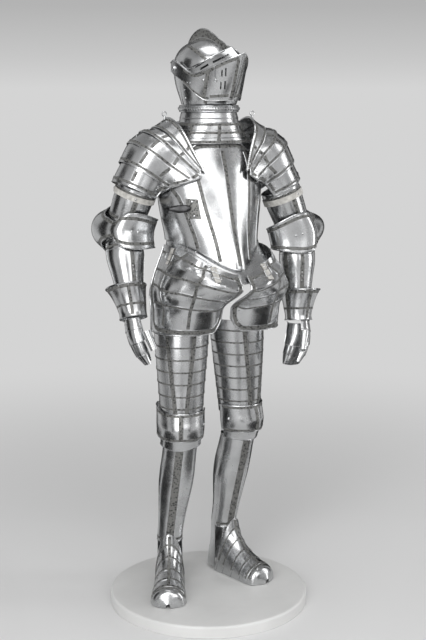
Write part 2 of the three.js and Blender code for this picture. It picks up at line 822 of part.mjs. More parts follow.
for (const [side, sign] of [["right", -1], ["left", 1]]) {
  const leg = LEGS[side];
  const middle = (z) => legPoint(leg, { z, side: 0, front: 0, back: 0 }, 0);
  add(`cuisse_${side}`, plate({
    across: 9,
    along: 1,
    lames: 8,
    step: 1.2,
    inside: middle(700),
    surface: (u, v) => legPoint(leg, rowAt(THIGH, mix(885, 572, v)), mix(-125, 125, u)),
  }), STEEL);
  add(`poleyn_${side}`, plate({
    across: 12,
    along: 3,
    inside: middle(555),
    surface: (u, v) => {
      const angle = mix(-100, 148, u);
      const wing = Math.exp(-(((angle - 108) / 34) ** 2));
      const z = mix(600 + 16 * wing, 512 + 10 * wing, v);
      return legPoint(leg, { ...rowAt(KNEE, z), z }, sign * angle, 8 * wing);
    },
  }), STEEL);
  add(`knee_lame_${side}`, plate({
    across: 10,
    along: 1,
    step: 1.25 * LAME_STEP,
    inside: middle(495),
    surface: (u, v) => {
      const angle = mix(-95, 95, u);
      return legPoint(leg, rowAt(KNEE, mix(521, 488 - 10 * cosine(angle) ** 2, v)), angle);
    },
  }), STEEL);
  add(`greave_front_${side}`, plate({
    across: 6,
    along: 5,
    inside: middle(330),
    surface: (u, v) => legPoint(leg, rowAt(SHIN, mix(508, 158, v)), mix(-90 + 0.3, 90 - 0.3, u)),
  }), STEEL);
  add(`greave_back_${side}`, plate({
    across: 6,
    along: 6,
    inside: middle(300),
    surface: (u, v) => legPoint(leg, rowAt(SHIN, mix(492, 12, v)), mix(90 + 0.3, 270 - 0.3, u)),
  }), STEEL);

  const foot = (s, u) => {
    const row = rowAt(SABATON, s);
    const over = mix(-90, 90, u);
    const arch = Math.max(cosine(over), 0) ** 0.8;
    const ahead = mix(row.edge, row.crest, arch);
    const across = row.half * sine(over);
    const z = mix(FOOT_CLEAR, row.high, arch);
    const [x, y] = leg.ankle;
    return [
      x + across * cosine(leg.turn) + ahead * sine(leg.turn),
      y + across * sine(leg.turn) - ahead * cosine(leg.turn),
      z,
    ];
  };
  add(`sabaton_lames_${side}`, plate({
    across: 8,
    along: 1,
    lames: 5,
    step: 1.2,
    inside: [...leg.ankle.slice(0, 2), 0],
    surface: (u, v) => foot(mix(0, 0.79, v), u),
  }), STEEL);
  add(`toe_cap_${side}`, plate({
    across: 8,
    along: 2,
    inside: [...foot(0.8, 0.5).slice(0, 2), 0],
    surface: (u, v) => foot(mix(0.796, 1, v), u),
  }), STEEL);
}

// ---- Lance rest: a bracket bolted to the right breast, and the arm that folds up on it ----
const BRACKET = { angle: [-47, -33], z: [1214, 1272] };
add("lance_bracket", plate({
  across: 4,
  along: 3,
  inside: [0, 0, 1240],
  surface: (u, v) => torso(mix(...BRACKET.angle, u), mix(...BRACKET.z, v), PLATE + 2 * GAP),
}), ETCHED);
const REST = { angle: -44, z: 1246, heading: 65, length: 88, root: 13, deep: 24, tip: 9, thick: 12, stand: 13 };
const restShape = new THREE.Shape([
  new THREE.Vector2(-6, -REST.root / 2),
  new THREE.Vector2(14, -REST.deep / 2),
  new THREE.Vector2(REST.length * 0.62, -REST.deep / 2 + 3),
  new THREE.Vector2(REST.length, -REST.tip / 2 + 4),
  new THREE.Vector2(REST.length, REST.tip / 2 + 4),
  new THREE.Vector2(REST.length * 0.5, REST.deep / 2),
  new THREE.Vector2(14, REST.deep / 2 - 1),
  new THREE.Vector2(-6, REST.root / 2),
]);
const restGeometry = new THREE.ExtrudeGeometry(restShape, { depth: REST.thick, bevelEnabled: false });
restGeometry.translate(0, 0, -REST.thick / 2);
restGeometry.rotateX(Math.PI / 2);
const rest = add("lance_rest_arm", restGeometry, STEEL);
rest.position.set(...torso(REST.angle, REST.z, REST.stand));
rest.rotation.z = THREE.MathUtils.degToRad(-90 - REST.heading);

// ---- Turning pins on the shoulders, each with its ring ----
const PIN = { x: 148, y: 0, low: 1508, high: 1516, radius: 3, ring: 7, wire: 1.6 };
for (const [side, sign] of [["right", -1], ["left", 1]]) {
  const post = new THREE.CylinderGeometry(PIN.radius, PIN.radius, PIN.high - PIN.low, 8);
  post.rotateX(Math.PI / 2);
  post.translate(0, 0, (PIN.high + PIN.low) / 2);
  const ring = new THREE.TorusGeometry(PIN.ring, PIN.wire, 5, 10);
  ring.rotateX(Math.PI / 2);
  ring.translate(0, 0, PIN.high + PIN.ring - 1);
  const joined = toManifold(post).add(toManifold(ring));
  add(`turning_pin_${side}`, fromManifold(joined), STEEL).position.set(sign * PIN.x, PIN.y, 0);
}

group.add(suit);
export default group;
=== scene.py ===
import bpy
import numpy as np
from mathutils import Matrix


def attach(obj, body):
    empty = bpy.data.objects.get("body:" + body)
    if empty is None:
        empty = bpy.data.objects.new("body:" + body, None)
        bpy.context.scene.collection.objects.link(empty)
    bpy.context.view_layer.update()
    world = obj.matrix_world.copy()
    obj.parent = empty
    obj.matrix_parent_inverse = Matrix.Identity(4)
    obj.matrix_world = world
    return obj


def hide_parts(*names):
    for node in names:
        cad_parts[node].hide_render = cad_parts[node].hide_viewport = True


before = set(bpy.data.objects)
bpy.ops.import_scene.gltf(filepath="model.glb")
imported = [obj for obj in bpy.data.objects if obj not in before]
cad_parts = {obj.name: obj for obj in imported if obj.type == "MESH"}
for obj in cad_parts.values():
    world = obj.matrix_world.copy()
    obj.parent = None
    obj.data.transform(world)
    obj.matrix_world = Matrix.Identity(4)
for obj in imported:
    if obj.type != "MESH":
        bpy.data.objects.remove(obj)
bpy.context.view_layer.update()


# ---- Camera ----
# A long lens a little below the helmet's height, on the wearer's right, tipped down to take in the plinth.
CAMERA = {"distance": 3.836, "height": 1.638, "turn": -24.217, "bearing": -24.0, "tip": 10.57, "lens": 69.92}
camera = bpy.data.objects.new("camera", bpy.data.cameras.new("camera"))
bpy.context.scene.collection.objects.link(camera)
bpy.context.scene.camera = camera
camera.data.lens = CAMERA["lens"]
camera.data.sensor_width = 36
bearing = np.radians(CAMERA["bearing"])
camera.location = (
    CAMERA["distance"] * np.sin(bearing),
    -CAMERA["distance"] * np.cos(bearing),
    CAMERA["height"],
)
camera.rotation_euler = (np.radians(90 - CAMERA["tip"]), 0, np.radians(CAMERA["turn"]))


# ---- Plinth ----
# A turned wooden disc with a rounded top edge, sprayed with smooth pale paint.
PLINTH = {"radius": 318, "height": 38, "round": 8, "flat": 250, "foot": 1.5, "band": 15}
CREASE = 32


def linear(colour):
    """The linear value of an sRGB hex colour: each channel by the sRGB curve, with alpha 1."""
    s = np.array([int(colour[i : i + 2], 16) / 255 for i in (1, 3, 5)])
    return (*np.where(s <= 0.04045, s / 12.92, ((s + 0.055) / 1.055) ** 2.4), 1.0)


def node(tree, kind, settings=None, links=None, values=None, stops=()):
    """Adds a node: its settings, its fixed sockets, the sockets that others feed, and a ramp's stops."""
    made = tree.nodes.new(kind)
    for key, value in (settings or {}).items():
        setattr(made, key, value)
    for key, value in (values or {}).items():
        made.inputs[key].default_value = value
    for key, source in (links or {}).items():
        tree.links.new(source, made.inputs[key])
    for k, (position, colour) in enumerate(stops):
        marks = made.color_ramp.elements
        mark = marks[k] if k < 2 else marks.new(position)
        mark.position = position
        mark.color = linear(colour)
    return made


def material(name, roughness, metallic=0.0):
    """An empty finish: its tree, its shader, and Object coordinates in metres."""
    made = bpy.data.materials.new(name)
    made.use_nodes = True
    tree = made.node_tree
    shader = tree.nodes["Principled BSDF"]
    shader.inputs["Roughness"].default_value = roughness
    shader.inputs["Metallic"].default_value = metallic
    place = node(tree, "ShaderNodeTexCoord").outputs["Object"]
    return made, tree, shader, place


def blots(size, detail=3.0):
    """The values of a noise whose largest blots are about `size` mm across."""
    return {"Scale": 1000 / size, "Detail": detail, "Roughness": 0.55}


def feed(tree, shader, place, tint, stops, gloss=None, dull=None, relief=None, depth=None):
    """Feeds a shader from patterns, each a socket or a noise's values: colours over `tint`,
    roughness from one end of `dull` to the other over `gloss`, and relief `depth` mm deep."""
    tint, gloss, relief = (
        node(tree, "ShaderNodeTexNoise", links={"Vector": place}, values=pattern).outputs["Fac"]
        if isinstance(pattern, dict) else pattern for pattern in (tint, gloss, relief)
    )
    colour = node(tree, "ShaderNodeValToRGB", links={"Fac": tint}, stops=stops)
    tree.links.new(colour.outputs["Color"], shader.inputs["Base Color"])
    if gloss:
        ends = {"From Min": 0.3, "From Max": 0.7, "To Min": dull[0], "To Max": dull[1]}
        spread = node(tree, "ShaderNodeMapRange", links={"Value": gloss}, values=ends)
        tree.links.new(spread.outputs["Result"], shader.inputs["Roughness"])
    if relief:
        values = {"Strength": 1.0, "Distance": depth / 1000}
        bump = node(tree, "ShaderNodeBump", links={"Height": relief}, values=values)
        tree.links.new(bump.outputs["Normal"], shader.inputs["Normal"])


# Sprayed satin paint on wood: even and pale, with a faint orange peel and slight handling marks.
paint, tree, shader, place = material("satin spray paint on wood", 0.42)
feed(
    tree, shader, place, blots(180), [(0.3, "#D1D1D0"), (0.7, "#DADAD9")],
    gloss=blots(40), dull=(0.36, 0.5), relief=blots(2.5, 1.0), depth=0.02,
)


def closed_round(profile, segments):
    """A solid of revolution about Z: each profile point (radius, height) carried round a full turn.
    The profile's first and last points lie on the axis."""
    turn = np.linspace(0, 2 * np.pi, segments, endpoint=False)
    ring = np.array(profile[1:-1], float)
    count = len(ring)
    points = np.stack([
        np.outer(ring[:, 0], np.cos(turn)),
        np.outer(ring[:, 0], np.sin(turn)),
        np.repeat(ring[:, 1:], segments, 1),
    ], -1).reshape(-1, 3)
    a = np.arange(count - 1)[:, None] * segments + np.arange(segments)
    b = np.arange(count - 1)[:, None] * segments + (np.arange(segments) + 1) % segments
    quads = np.stack([a, b, b + segments, a + segments], -1).reshape(-1, 4)
    ends = [list(range(segments))[::-1], list(range((count - 1) * segments, count * segments))]
    return points, quads, ends


def make(name, parts, finish, body, nodes=(), place=lambda points: points):
    """One object from parts (points in mm, quads, polygons). `place` carries the points to the row frame."""
    points, faces, first = [], [], 0
    for part in parts:
        points.append(part[0])
        faces += (part[1] + first).tolist()
        faces += [[corner + first for corner in polygon] for polygon in (part[2] if len(part) > 2 else [])]
        first += len(part[0])
    mesh = bpy.data.meshes.new(name)
    mesh.from_pydata((place(np.concatenate(points)) / 1000).tolist(), [], faces)
    mesh.polygons.foreach_set("use_smooth", [True] * len(mesh.polygons))
    mesh.set_sharp_from_angle(angle=np.radians(CREASE))
    mesh.materials.append(finish)
    made = bpy.data.objects.new(name, mesh)
    bpy.context.scene.collection.objects.link(made)
    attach(made, body)
    if nodes:
        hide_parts(*nodes)
    return made


turns = np.linspace(0, np.pi / 2, 9)
rim = np.stack([
    PLINTH["radius"] - PLINTH["round"] * (1 - np.cos(turns)),
    PLINTH["height"] - PLINTH["round"] * (1 - np.sin(turns)),
], -1)
foot = [
    [PLINTH["radius"] - PLINTH["foot"], 0],
    [PLINTH["radius"], PLINTH["foot"]],
    [PLINTH["radius"], PLINTH["band"]],
]
disc = [[0, 0], *foot, *rim.tolist(), [PLINTH["flat"], PLINTH["height"]], [0, PLINTH["height"]]]
make("plinth_disc", [closed_round(disc, 256)], paint, "suit", ["plinth"])


# ---- Breastplate and backplate ----
# Polished steel, raised from one sheet each, with a keeled front that dips to a point at the waist.
# Etched bands run down them, and their edges are turned over into roped rolls.
SUIT_AT = np.array([20.0, 40.0, 38.0])
PLATE = 1.8
SEAM = 0.12  # degrees between a front plate and the back one, each side of the seam


def rows(names, table):
    """A table with named columns, as arrays."""
    return dict(zip(names, np.array(table, float).T))


TORSO = rows(["z", "side", "front", "back", "keel"], [
    [1040, 150, 205, 112, 26],
    [1075, 146, 205, 112, 26],
    [1110, 142, 196, 112, 22],
    [1150, 144, 184, 114, 15],
    [1200, 154, 166, 120, 11],
    [1250, 163, 151, 127, 9],
    [1310, 167, 134, 132, 7],
    [1360, 169, 118, 133, 6],
    [1400, 157, 100, 122, 5],
    [1432, 128, 86, 104, 4],
    [1450, 100, 80, 92, 4],
])
BREAST_TOP = rows(["angle", "z"], [
    [0, 1439],
    [22, 1439],
    [36, 1430],
    [48, 1396],
    [62, 1338],
    [76, 1296],
    [90, 1282],
])
PEASCOD = {"side": 1137, "drop": 70}


def sine(degrees):
    return np.sin(np.radians(degrees))


def cosine(degrees):
    return np.cos(np.radians(degrees))


def mix(low, high, share):
    return low + (high - low) * share


def row_at(table, value):
    """Every column at these values of the first: cubics whose slopes come from each row's neighbours."""
    key, *columns = table
    marks = table[key]
    way = np.sign(marks[-1] - marks[0])
    i = np.searchsorted(way * marks[1:-1], way * value, side="left")
    span = marks[i + 1] - marks[i]
    t = np.clip((value - marks[i]) / span, 0, 1)
    found = {key: value}
    for name in columns:
        y = table[name]
        slope = np.concatenate([
            [(y[1] - y[0]) / (marks[1] - marks[0])],
            (y[2:] - y[:-2]) / (marks[2:] - marks[:-2]),
            [(y[-1] - y[-2]) / (marks[-1] - marks[-2])],
        ])
        start = (2 * t**3 - 3 * t**2 + 1) * y[i] + (t**3 - 2 * t**2 + t) * slope[i] * span
        found[name] = start + (3 * t**2 - 2 * t**3) * y[i + 1] + (t**3 - t**2) * slope[i + 1] * span
    return found


def around(section, angle, out=0.0):
    """A point round a body section: half an ellipse in front and half behind, and a keel down the middle."""
    depth = np.where(cosine(angle) > 0, section["front"], section["back"])
    keel = section.get("keel", 0) * np.exp(-((angle / 16) ** 2))
    x = (section["side"] + out) * sine(angle)
    y = -(depth + out) * cosine(angle) - keel
    return np.stack(np.broadcast_arrays(x, y, section["z"]), -1).astype(float)


def frame_of(surface, u, v, inside):
    """Points of a surface, the normals that point away from `inside`, and its two steps per unit."""
    e = 0.001
    points = surface(u, v)
    across = (surface(u + e, v) - surface(u - e, v)) / (2 * e)
    along = (surface(u, v + e) - surface(u, v - e)) / (2 * e)
    normal = np.cross(across, along)
    normal /= np.maximum(np.linalg.norm(normal, axis=-1, keepdims=True), 1e-9)
    if np.sum(normal * (points - np.array(inside))) < 0:
        normal = -normal
    return points, normal, across, along


def wall(
    surface, across, along, inside, closed=False, thickness=PLATE, lames=1, step=0.0, lift=0.0, marks=None
):
    """A sheet of even thickness under surface(u, v), with edges closed.
    Each lame starts `step` below the face and rises to it at its far edge. All of it may be lifted.
    The lames share the length evenly, unless `marks` says where each starts and the last one ends."""
    marks = np.linspace(0, 1, lames + 1) if marks is None else np.array(marks, float)
    lines = np.concatenate([mix(marks[k], marks[k + 1], np.arange(along + 1) / along) for k in range(lames)])
    sunk = np.tile(-step * (1 - np.arange(along + 1) / along), lames)
    columns = across if closed else across + 1
    u, v = np.meshgrid(np.arange(columns) / across, np.clip(lines, 0.0, 1.0))
    points, normal, _, _ = frame_of(surface, u, v, inside)
    outer = points + normal * (sunk[:, None, None] + lift)
    inner = outer - normal * thickness
    count = len(lines)
    half = count * columns
    j, i = np.meshgrid(np.arange(count - 1), np.arange(across), indexing="ij")
    a = j * columns + i
    b = j * columns + (i + 1) % columns
    faces = [np.stack([a, b, b + columns, a + columns], -1).reshape(-1, 4)]
    faces.append(faces[0][:, ::-1] + half)
    row = np.arange(across)
    for start, order in ((0, 1), ((count - 1) * columns, -1)):
        a, b = start + row, start + (row + 1) % columns
        faces.append(np.stack([b, a, a + half, b + half], -1)[:, ::order])
    if not closed:
        line = np.arange(count - 1) * columns
        for start, order in ((0, 1), (columns - 1, -1)):
            a, b = start + line, start + line + columns
            faces.append(np.stack([a, b, b + half, a + half], -1)[:, ::order])
    return outward(np.concatenate([outer.reshape(-1, 3), inner.reshape(-1, 3)]), np.concatenate(faces))


def outward(points, faces):
    """The same solid with its faces turned out, by the sign of its volume."""
    a, b, c, d = (points[faces[:, k]] for k in range(4))
    volume = np.sum(a * np.cross(b, c)) + np.sum(a * np.cross(c, d))
    return (points, faces) if volume > 0 else (points, faces[:, ::-1])


def line_of(path, steps):
    """u, v and their steps along a line of (u, v) points, evenly by the number of points."""
    path = np.array(path, float)
    s = np.linspace(0, len(path) - 1, steps)
    u, v = (np.interp(s, np.arange(len(path)), path[:, k]) for k in (0, 1))
    return u, v, np.gradient(u), np.gradient(v)


def strip(surface, path, width, inside, steps=36, columns=4, lift=0.7, thickness=1.6, off=0.0):
    """A narrow sheet on a surface: its middle follows the (u, v) path, `off` mm to one side of it.
    Each point is found by solving the surface's two steps for a move square to the path."""
    share = np.linspace(0, 1, steps)
    line_u, line_v, step_u, step_v = line_of(path, steps)

    def mapped(a, b):
        u, v = np.interp(a, share, line_u), np.interp(a, share, line_v)
        du, dv = np.interp(a, share, step_u), np.interp(a, share, step_v)
        _, normal, along_u, along_v = frame_of(surface, u, v, inside)
        heading = along_u * du[..., None] + along_v * dv[..., None]
        side = np.cross(normal, heading)
        side /= np.maximum(np.linalg.norm(side, axis=-1, keepdims=True), 1e-9)
        move = side * (width * (b - 0.5) + off)[..., None]
        uu, vv, uv = (np.sum(p * q, -1) for p, q in
                      ((along_u, along_u), (along_v, along_v), (along_u, along_v)))
        pu, pv = np.sum(move * along_u, -1), np.sum(move * along_v, -1)
        whole = uu * vv - uv**2
        return surface(u + (pu * vv - pv * uv) / whole, v + (pv * uu - pu * uv) / whole)

    return wall(mapped, steps - 1, columns, inside, thickness=thickness, lift=lift)


def tube(points, normals, radius, sides=8, rope=0.0, pitch=7.0, closed=False):
    """A round bar along points: rings square to the line, and for a roped bar a twist of raised strands."""
    ahead = np.roll(points, -1, 0) - np.roll(points, 1, 0)
    if not closed:
        ahead[0], ahead[-1] = points[1] - points[0], points[-1] - points[-2]
    ahead /= np.maximum(np.linalg.norm(ahead, axis=-1, keepdims=True), 1e-9)
    side = np.cross(ahead, normals)
    side /= np.maximum(np.linalg.norm(side, axis=-1, keepdims=True), 1e-9)
    up = np.cross(side, ahead)
    turn = np.linspace(0, 2 * np.pi, sides, endpoint=False)
    run = np.concatenate([[0], np.cumsum(np.linalg.norm(np.diff(points, axis=0), axis=-1))])
    twist = 1 + rope * np.abs(np.sin(np.pi * run[:, None] / pitch + turn))
    ring = (radius * twist)[..., None] * (
        np.cos(turn)[None, :, None] * side[:, None] + np.sin(turn)[None, :, None] * up[:, None]
    )
    made = (points[:, None] + ring).reshape(-1, 3)
    count = len(points)
    j, i = np.meshgrid(np.arange(count if closed else count - 1), np.arange(sides), indexing="ij")
    a, b = j * sides + i, j * sides + (i + 1) % sides
    c, d = (a + sides) % (count * sides), (b + sides) % (count * sides)
    made, faces = outward(made, np.stack([a, b, d, c], -1).reshape(-1, 4))
    if closed:
        return made, faces
    caps = [list(range(sides)), list(range((count - 1) * sides, count * sides))]
    flip = np.dot(np.cross(made[1] - made[0], made[2] - made[0]), ahead[0]) > 0
    caps = [caps[0][::-1], caps[1]] if flip else [caps[0], caps[1][::-1]]
    return made, faces, caps


def roll(surface, path, radius, inside, steps=90, out=0.0, closed=False, **rope):
    """A turned edge: a bar whose middle lies `out` mm off the surface along a (u, v) path."""
    u, v, _, _ = line_of(path, steps)
    if closed:
        u, v = u[:-1], v[:-1]
    points, normal, _, _ = frame_of(surface, u, v, inside)
    return tube(points + normal * out, normal, radius, closed=closed, **rope)


def studs(surface, places, radius, height, inside, lift=0.0):
    """Domed rivet heads at (u, v) places: rings of a half ball, flattened to `height`, on the normals."""
    places = np.array(places, float)
    points, normal, across, _ = frame_of(surface, places[:, 0], places[:, 1], inside)
    side = across / np.linalg.norm(across, axis=-1, keepdims=True)
    other = np.cross(normal, side)
    return domes(points + normal * lift, normal, side, other, radius, height)


def domes(points, normal, side, other, radius, height, sides=12, rings=4):
    """Half balls, flattened to `height`, that stand at points along their normals, with a flat foot."""
    rise = np.linspace(-0.35, np.pi / 2 - 0.2, rings)
    turn = np.linspace(0, 2 * np.pi, sides, endpoint=False)
    flat = radius * np.cos(np.maximum(rise, 0))
    tall = height * np.sin(rise)
    ring = (
        flat[:, None, None] * (np.cos(turn)[None, :, None] * side[:, None, None]
                               + np.sin(turn)[None, :, None] * other[:, None, None])
        + tall[:, None, None] * normal[:, None, None]
    )
    made = points[:, None, None] + ring
    size = rings * sides
    j, i = np.meshgrid(np.arange(rings - 1), np.arange(sides), indexing="ij")
    a, b = j * sides + i, j * sides + (i + 1) % sides
    quads = np.stack([a, b, b + sides, a + sides], -1).reshape(-1, 4)
    starts = np.arange(len(points)) * size
    caps = [[int(s) + k for k in range(sides)][::-1] for s in starts]
    caps += [[int(s) + size - sides + k for k in range(sides)] for s in starts]
    return made.reshape(-1, 3), (quads[None] + starts[:, None, None]).reshape(-1, 4), caps


def in_suit(points):
    """The suit's own frame to the row frame."""
    return points + SUIT_AT


def breast_low(angle):
    """The waist's edge: level at the sides, falling by a fourth power of the cosine to the keel's point."""
    return PEASCOD["side"] - PEASCOD["drop"] * np.maximum(cosine(angle), 0) ** 4


def torso(angle, z, out=0.0):
    return around(row_at(TORSO, z), angle, out)


def breast(u, v):
    angle = mix(SEAM - 90, 90 - SEAM, u)
    return torso(angle, mix(breast_low(angle), row_at(BREAST_TOP, np.abs(angle))["z"], v))


def back(u, v):
    angle = mix(90 + SEAM, 270 - SEAM, u)
    return torso(angle, mix(PEASCOD["side"], row_at(BREAST_TOP, np.abs(180 - angle))["z"], v))


# Polished steel plate, hammered to shape, ground and burnished: a bright satin skin with slow waves
# left by the hammer, faint rubbing marks, and slightly duller patches.
steel, tree, shader, place = material("burnished steel plate", 0.2, metallic=1.0)
feed(
    tree, shader, place, blots(60), [(0.3, "#BBBCBD"), (0.72, "#CFD0D1")],
    gloss=blots(35, 6.0), dull=(0.2, 0.3), relief=blots(55, 1.5), depth=0.25,
)

# Etched steel: acid has lowered the ground round a running leaf and scroll pattern and left it matt grey,
# so a band looks like a dull, finely mottled stripe beside the bright plate.
etched, tree, shader, place = material("etched steel band", 0.55, metallic=0.3)
cells = node(
    tree, "ShaderNodeTexVoronoi", settings={"feature": "SMOOTH_F1"}, links={"Vector": place},
    values={"Scale": 1000 / 7.0, "Smoothness": 0.4},
).outputs["Distance"]
leaves = node(tree, "ShaderNodeTexNoise", links={"Vector": place}, values=blots(5.5, 2.0)).outputs["Fac"]
scroll = node(
    tree, "ShaderNodeMath", settings={"operation": "MULTIPLY_ADD"},
    links={0: leaves, 2: cells}, values={1: 0.55},
).outputs["Value"]
feed(
    tree, shader, place, scroll, [(0.38, "#131312"), (0.55, "#3A3A39"), (0.74, "#6E6E6C")],
    gloss=scroll, dull=(0.62, 0.42), relief=scroll, depth=0.3,
)



def dress_steel(name, parts, nodes=(), body="suit", place=in_suit):
    return make(name, parts, steel, body, nodes, place)


def dress_etched(name, parts, nodes=(), body="suit", place=in_suit):
    return make(name, parts, etched, body, nodes, place)


CHEST = [0, 0, 1250]
BAND = 13.0
LINE = 1.5


def edged(surface, paths, inside, gap, steps, lift=0.6, width=LINE):
    """Two thin raised lines along each path, `gap` mm to either side of its middle."""
    return [
        strip(surface, path, width, inside, steps, 1, lift=lift, off=off)
        for path in paths for off in (-gap, gap)
    ]


def level(v, count=61, start=0.0, end=1.0):
    """A (u, v) path across a surface at one v."""
    return [(u, v) for u in np.linspace(start, end, count)]


def upright(u, start, end, count=12):
    """A (u, v) path down a surface at one u."""
    return [(u, v) for v in np.linspace(start, end, count)]


def mirrored(paths):
    """The same paths on both sides of the middle."""
    return [[(flip * u + (flip < 0), v) for u, v in path] for path in paths for flip in (1, -1)]


BREAST_BANDS = [[(0.5, v) for v in (0.03, 0.3, 0.6, 0.93)]] + mirrored([
    [(0.389, 0.02), (0.384, 0.07), (0.362, 0.35), (0.339, 0.6), (0.312, 0.93)],
    [(0.258, 0.02), (0.253, 0.07), (0.229, 0.37), (0.19, 0.62), (0.152, 0.8), (0.13, 0.92)],
])
paths = BREAST_BANDS + [level(0.965, 25, 0.29, 0.71)]
dress_steel("breastplate_shell", [wall(breast, 96, 48, CHEST)], ["breastplate"])
dress_etched(
    "breastplate_bands", [strip(breast, path, BAND, CHEST, lift=1.0, thickness=2.0) for path in paths]
)
edges = edged(breast, paths, CHEST, BAND / 2, 36, lift=1.1)
edges += [roll(breast, level(1.0), 2.6, CHEST, 200, rope=0.22), roll(breast, level(0.0), 2.4, CHEST, 200)]
dress_steel("breastplate_edges", edges)
BACK_BANDS = [
    [(0.5, v) for v in (0.06, 0.5, 0.95)],
    [(0.33, 0.06), (0.3, 0.5), (0.31, 0.9)],
    [(0.67, 0.06), (0.7, 0.5), (0.69, 0.9)],
]
dress_steel("backplate_shell", [wall(back, 72, 36, CHEST)], ["backplate"])
dress_etched(
    "backplate_bands", [strip(back, path, BAND, CHEST, lift=1.0, thickness=2.0) for path in BACK_BANDS]
)
edges = edged(back, BACK_BANDS, CHEST, BAND / 2, 36, lift=1.1)
edges += [roll(back, level(1.0), 2.6, CHEST, 160, rope=0.22)]
dress_steel("backplate_edges", edges)


# ---- Fauld and culet ----
# Narrow steel lames under the waist, front and back, riveted to leathers inside so that they slide.
SKIRT = {
    "tuck": -4.8, "flare": 44, "drop": 46, "power": 1.2, "under": 4, "side": 34, "middle": 4,
    "behind": 1042, "hips": 0.28, "rear": 0.34,
}
HIPS = [0, 0, 1100]


def smooth(value, low, high):
    """0 under the low mark, 1 over the high one, eased between them."""
    t = np.clip((value - low) / (high - low), 0, 1)
    return t * t * (3 - 2 * t)


def flare(below, angle):
    """How far the skirt stands out: a power of the depth below the waist's edge, less at the hips."""
    ease = mix(1, SKIRT["hips"], smooth(angle, 50, 88)) + SKIRT["rear"] * smooth(angle, 110, 150)
    return SKIRT["tuck"] + SKIRT["flare"] * (np.maximum(below * ease, 0) / SKIRT["drop"]) ** SKIRT["power"]


def fauld(u, v):
    angle = mix(SEAM - 90, 90 - SEAM, u)
    edge = breast_low(angle)
    z = mix(edge + SKIRT["under"], edge - SKIRT["side"] - SKIRT["middle"] * cosine(angle) ** 4, v)
    return torso(angle, z, flare(edge - z, np.abs(angle)))


def culet(u, v):
    angle = mix(90 + SEAM, 270 - SEAM, u)
    z = mix(PEASCOD["side"] + SKIRT["under"], SKIRT["behind"], v)
    return torso(angle, z, flare(PEASCOD["side"] - z, 180 - np.abs(180 - angle)))


for name, surface, lames in (("fauld", fauld, 2), ("culet", culet, 3)):
    dress_steel(f"{name}_lames", [wall(surface, 96, 6, HIPS, lames=lames, step=1.2)], [name])
    marks = [roll(surface, level(1.0), 2.0, HIPS, 160)]
    marks += [strip(surface, level(k / lames - 0.04), LINE, HIPS, 120, 1) for k in range(1, lames)]
    marks += [studs(surface, [(u, (k + 0.5) / lames) for u in (0.03, 0.24, 0.76, 0.97)], 3.2, 1.8, HIPS)
              for k in range(lames)]
    dress_steel(f"{name}_trim", marks)


# ---- Collar ----
# A gorget plate that flares over the shoulders, and two neck lames inside it up to the helmet's rim.
GORGET = rows(["z", "side", "front", "back"], [
    [1434, 136, 97.5, 111],
    [1455, 117, 97.5, 104],
    [1475, 106, 98, 100],
    [1498, 98, 98, 98],
])
NECK = {"low": 1490, "high": 1530, "wide": 93.4, "narrow": 85}
THROAT = [0, 0, 1490]


def gorget(u, v):
    return around(row_at(GORGET, mix(GORGET["z"][0], GORGET["z"][-1], np.clip(v, 0, 1))), 360 * u)


def neck(u, v):
    radius = mix(NECK["wide"], NECK["narrow"], v)
    height = mix(NECK["low"], NECK["high"], v)
    return np.stack([radius * sine(360 * u), -radius * cosine(360 * u), height], -1)


dress_steel("gorget", [wall(gorget, 96, 16, THROAT, closed=True)], ["gorget_plate"])
dress_steel(
    "neck_rings", [wall(neck, 96, 5, THROAT, closed=True, thickness=1.6, lames=2, step=-1.2)], ["neck_lames"]
)
COLLAR_BANDS = [[(u, 0.12), (u, 0.5), (u, 0.9)] for u in (-0.013, 0.15, 0.3, 0.5, 0.7, 0.85)]
bands = [strip(gorget, path, 11, THROAT, 24) for path in COLLAR_BANDS]
bands += [strip(gorget, level(v, 97), 7, THROAT, 160) for v in (0.1, 0.52, 0.9)]
bands += [strip(neck, level(v, 97), 6, THROAT, 160, lift=0.5) for v in (0.2, 0.72)]
dress_etched("gorget_bands", bands)
rings = [roll(gorget, level(v, 97), 1.5, THROAT, 200, closed=True) for v in (0.28, 0.64)]
rings += [roll(neck, level(v, 97), 1.7, THROAT, 200, closed=True) for v in (0.02, 0.48, 0.96)]
rings += [studs(neck, [(u, 0.2) for u in np.arange(0.03, 1, 1 / 12)], 2.6, 2.0, THROAT)]
dress_steel("collar_rings", rings)
marks = edged(gorget, COLLAR_BANDS, THROAT, 4.5, 24, lift=0.55)
for v, radius in ((0.02, 1.8), (0.985, 1.5)):
    marks.append(roll(gorget, level(v, 97), radius, THROAT, 193, closed=True))
marks += [roll(neck, level(v, 97), 1.3, THROAT, 193, closed=True) for v in (0.52, 0.97)]
marks += [studs(gorget, [(u, 0.6) for u in (0.08, 0.42, 0.58, 0.93)], 3.6, 2.6, THROAT)]
dress_steel("collar_trim", marks)


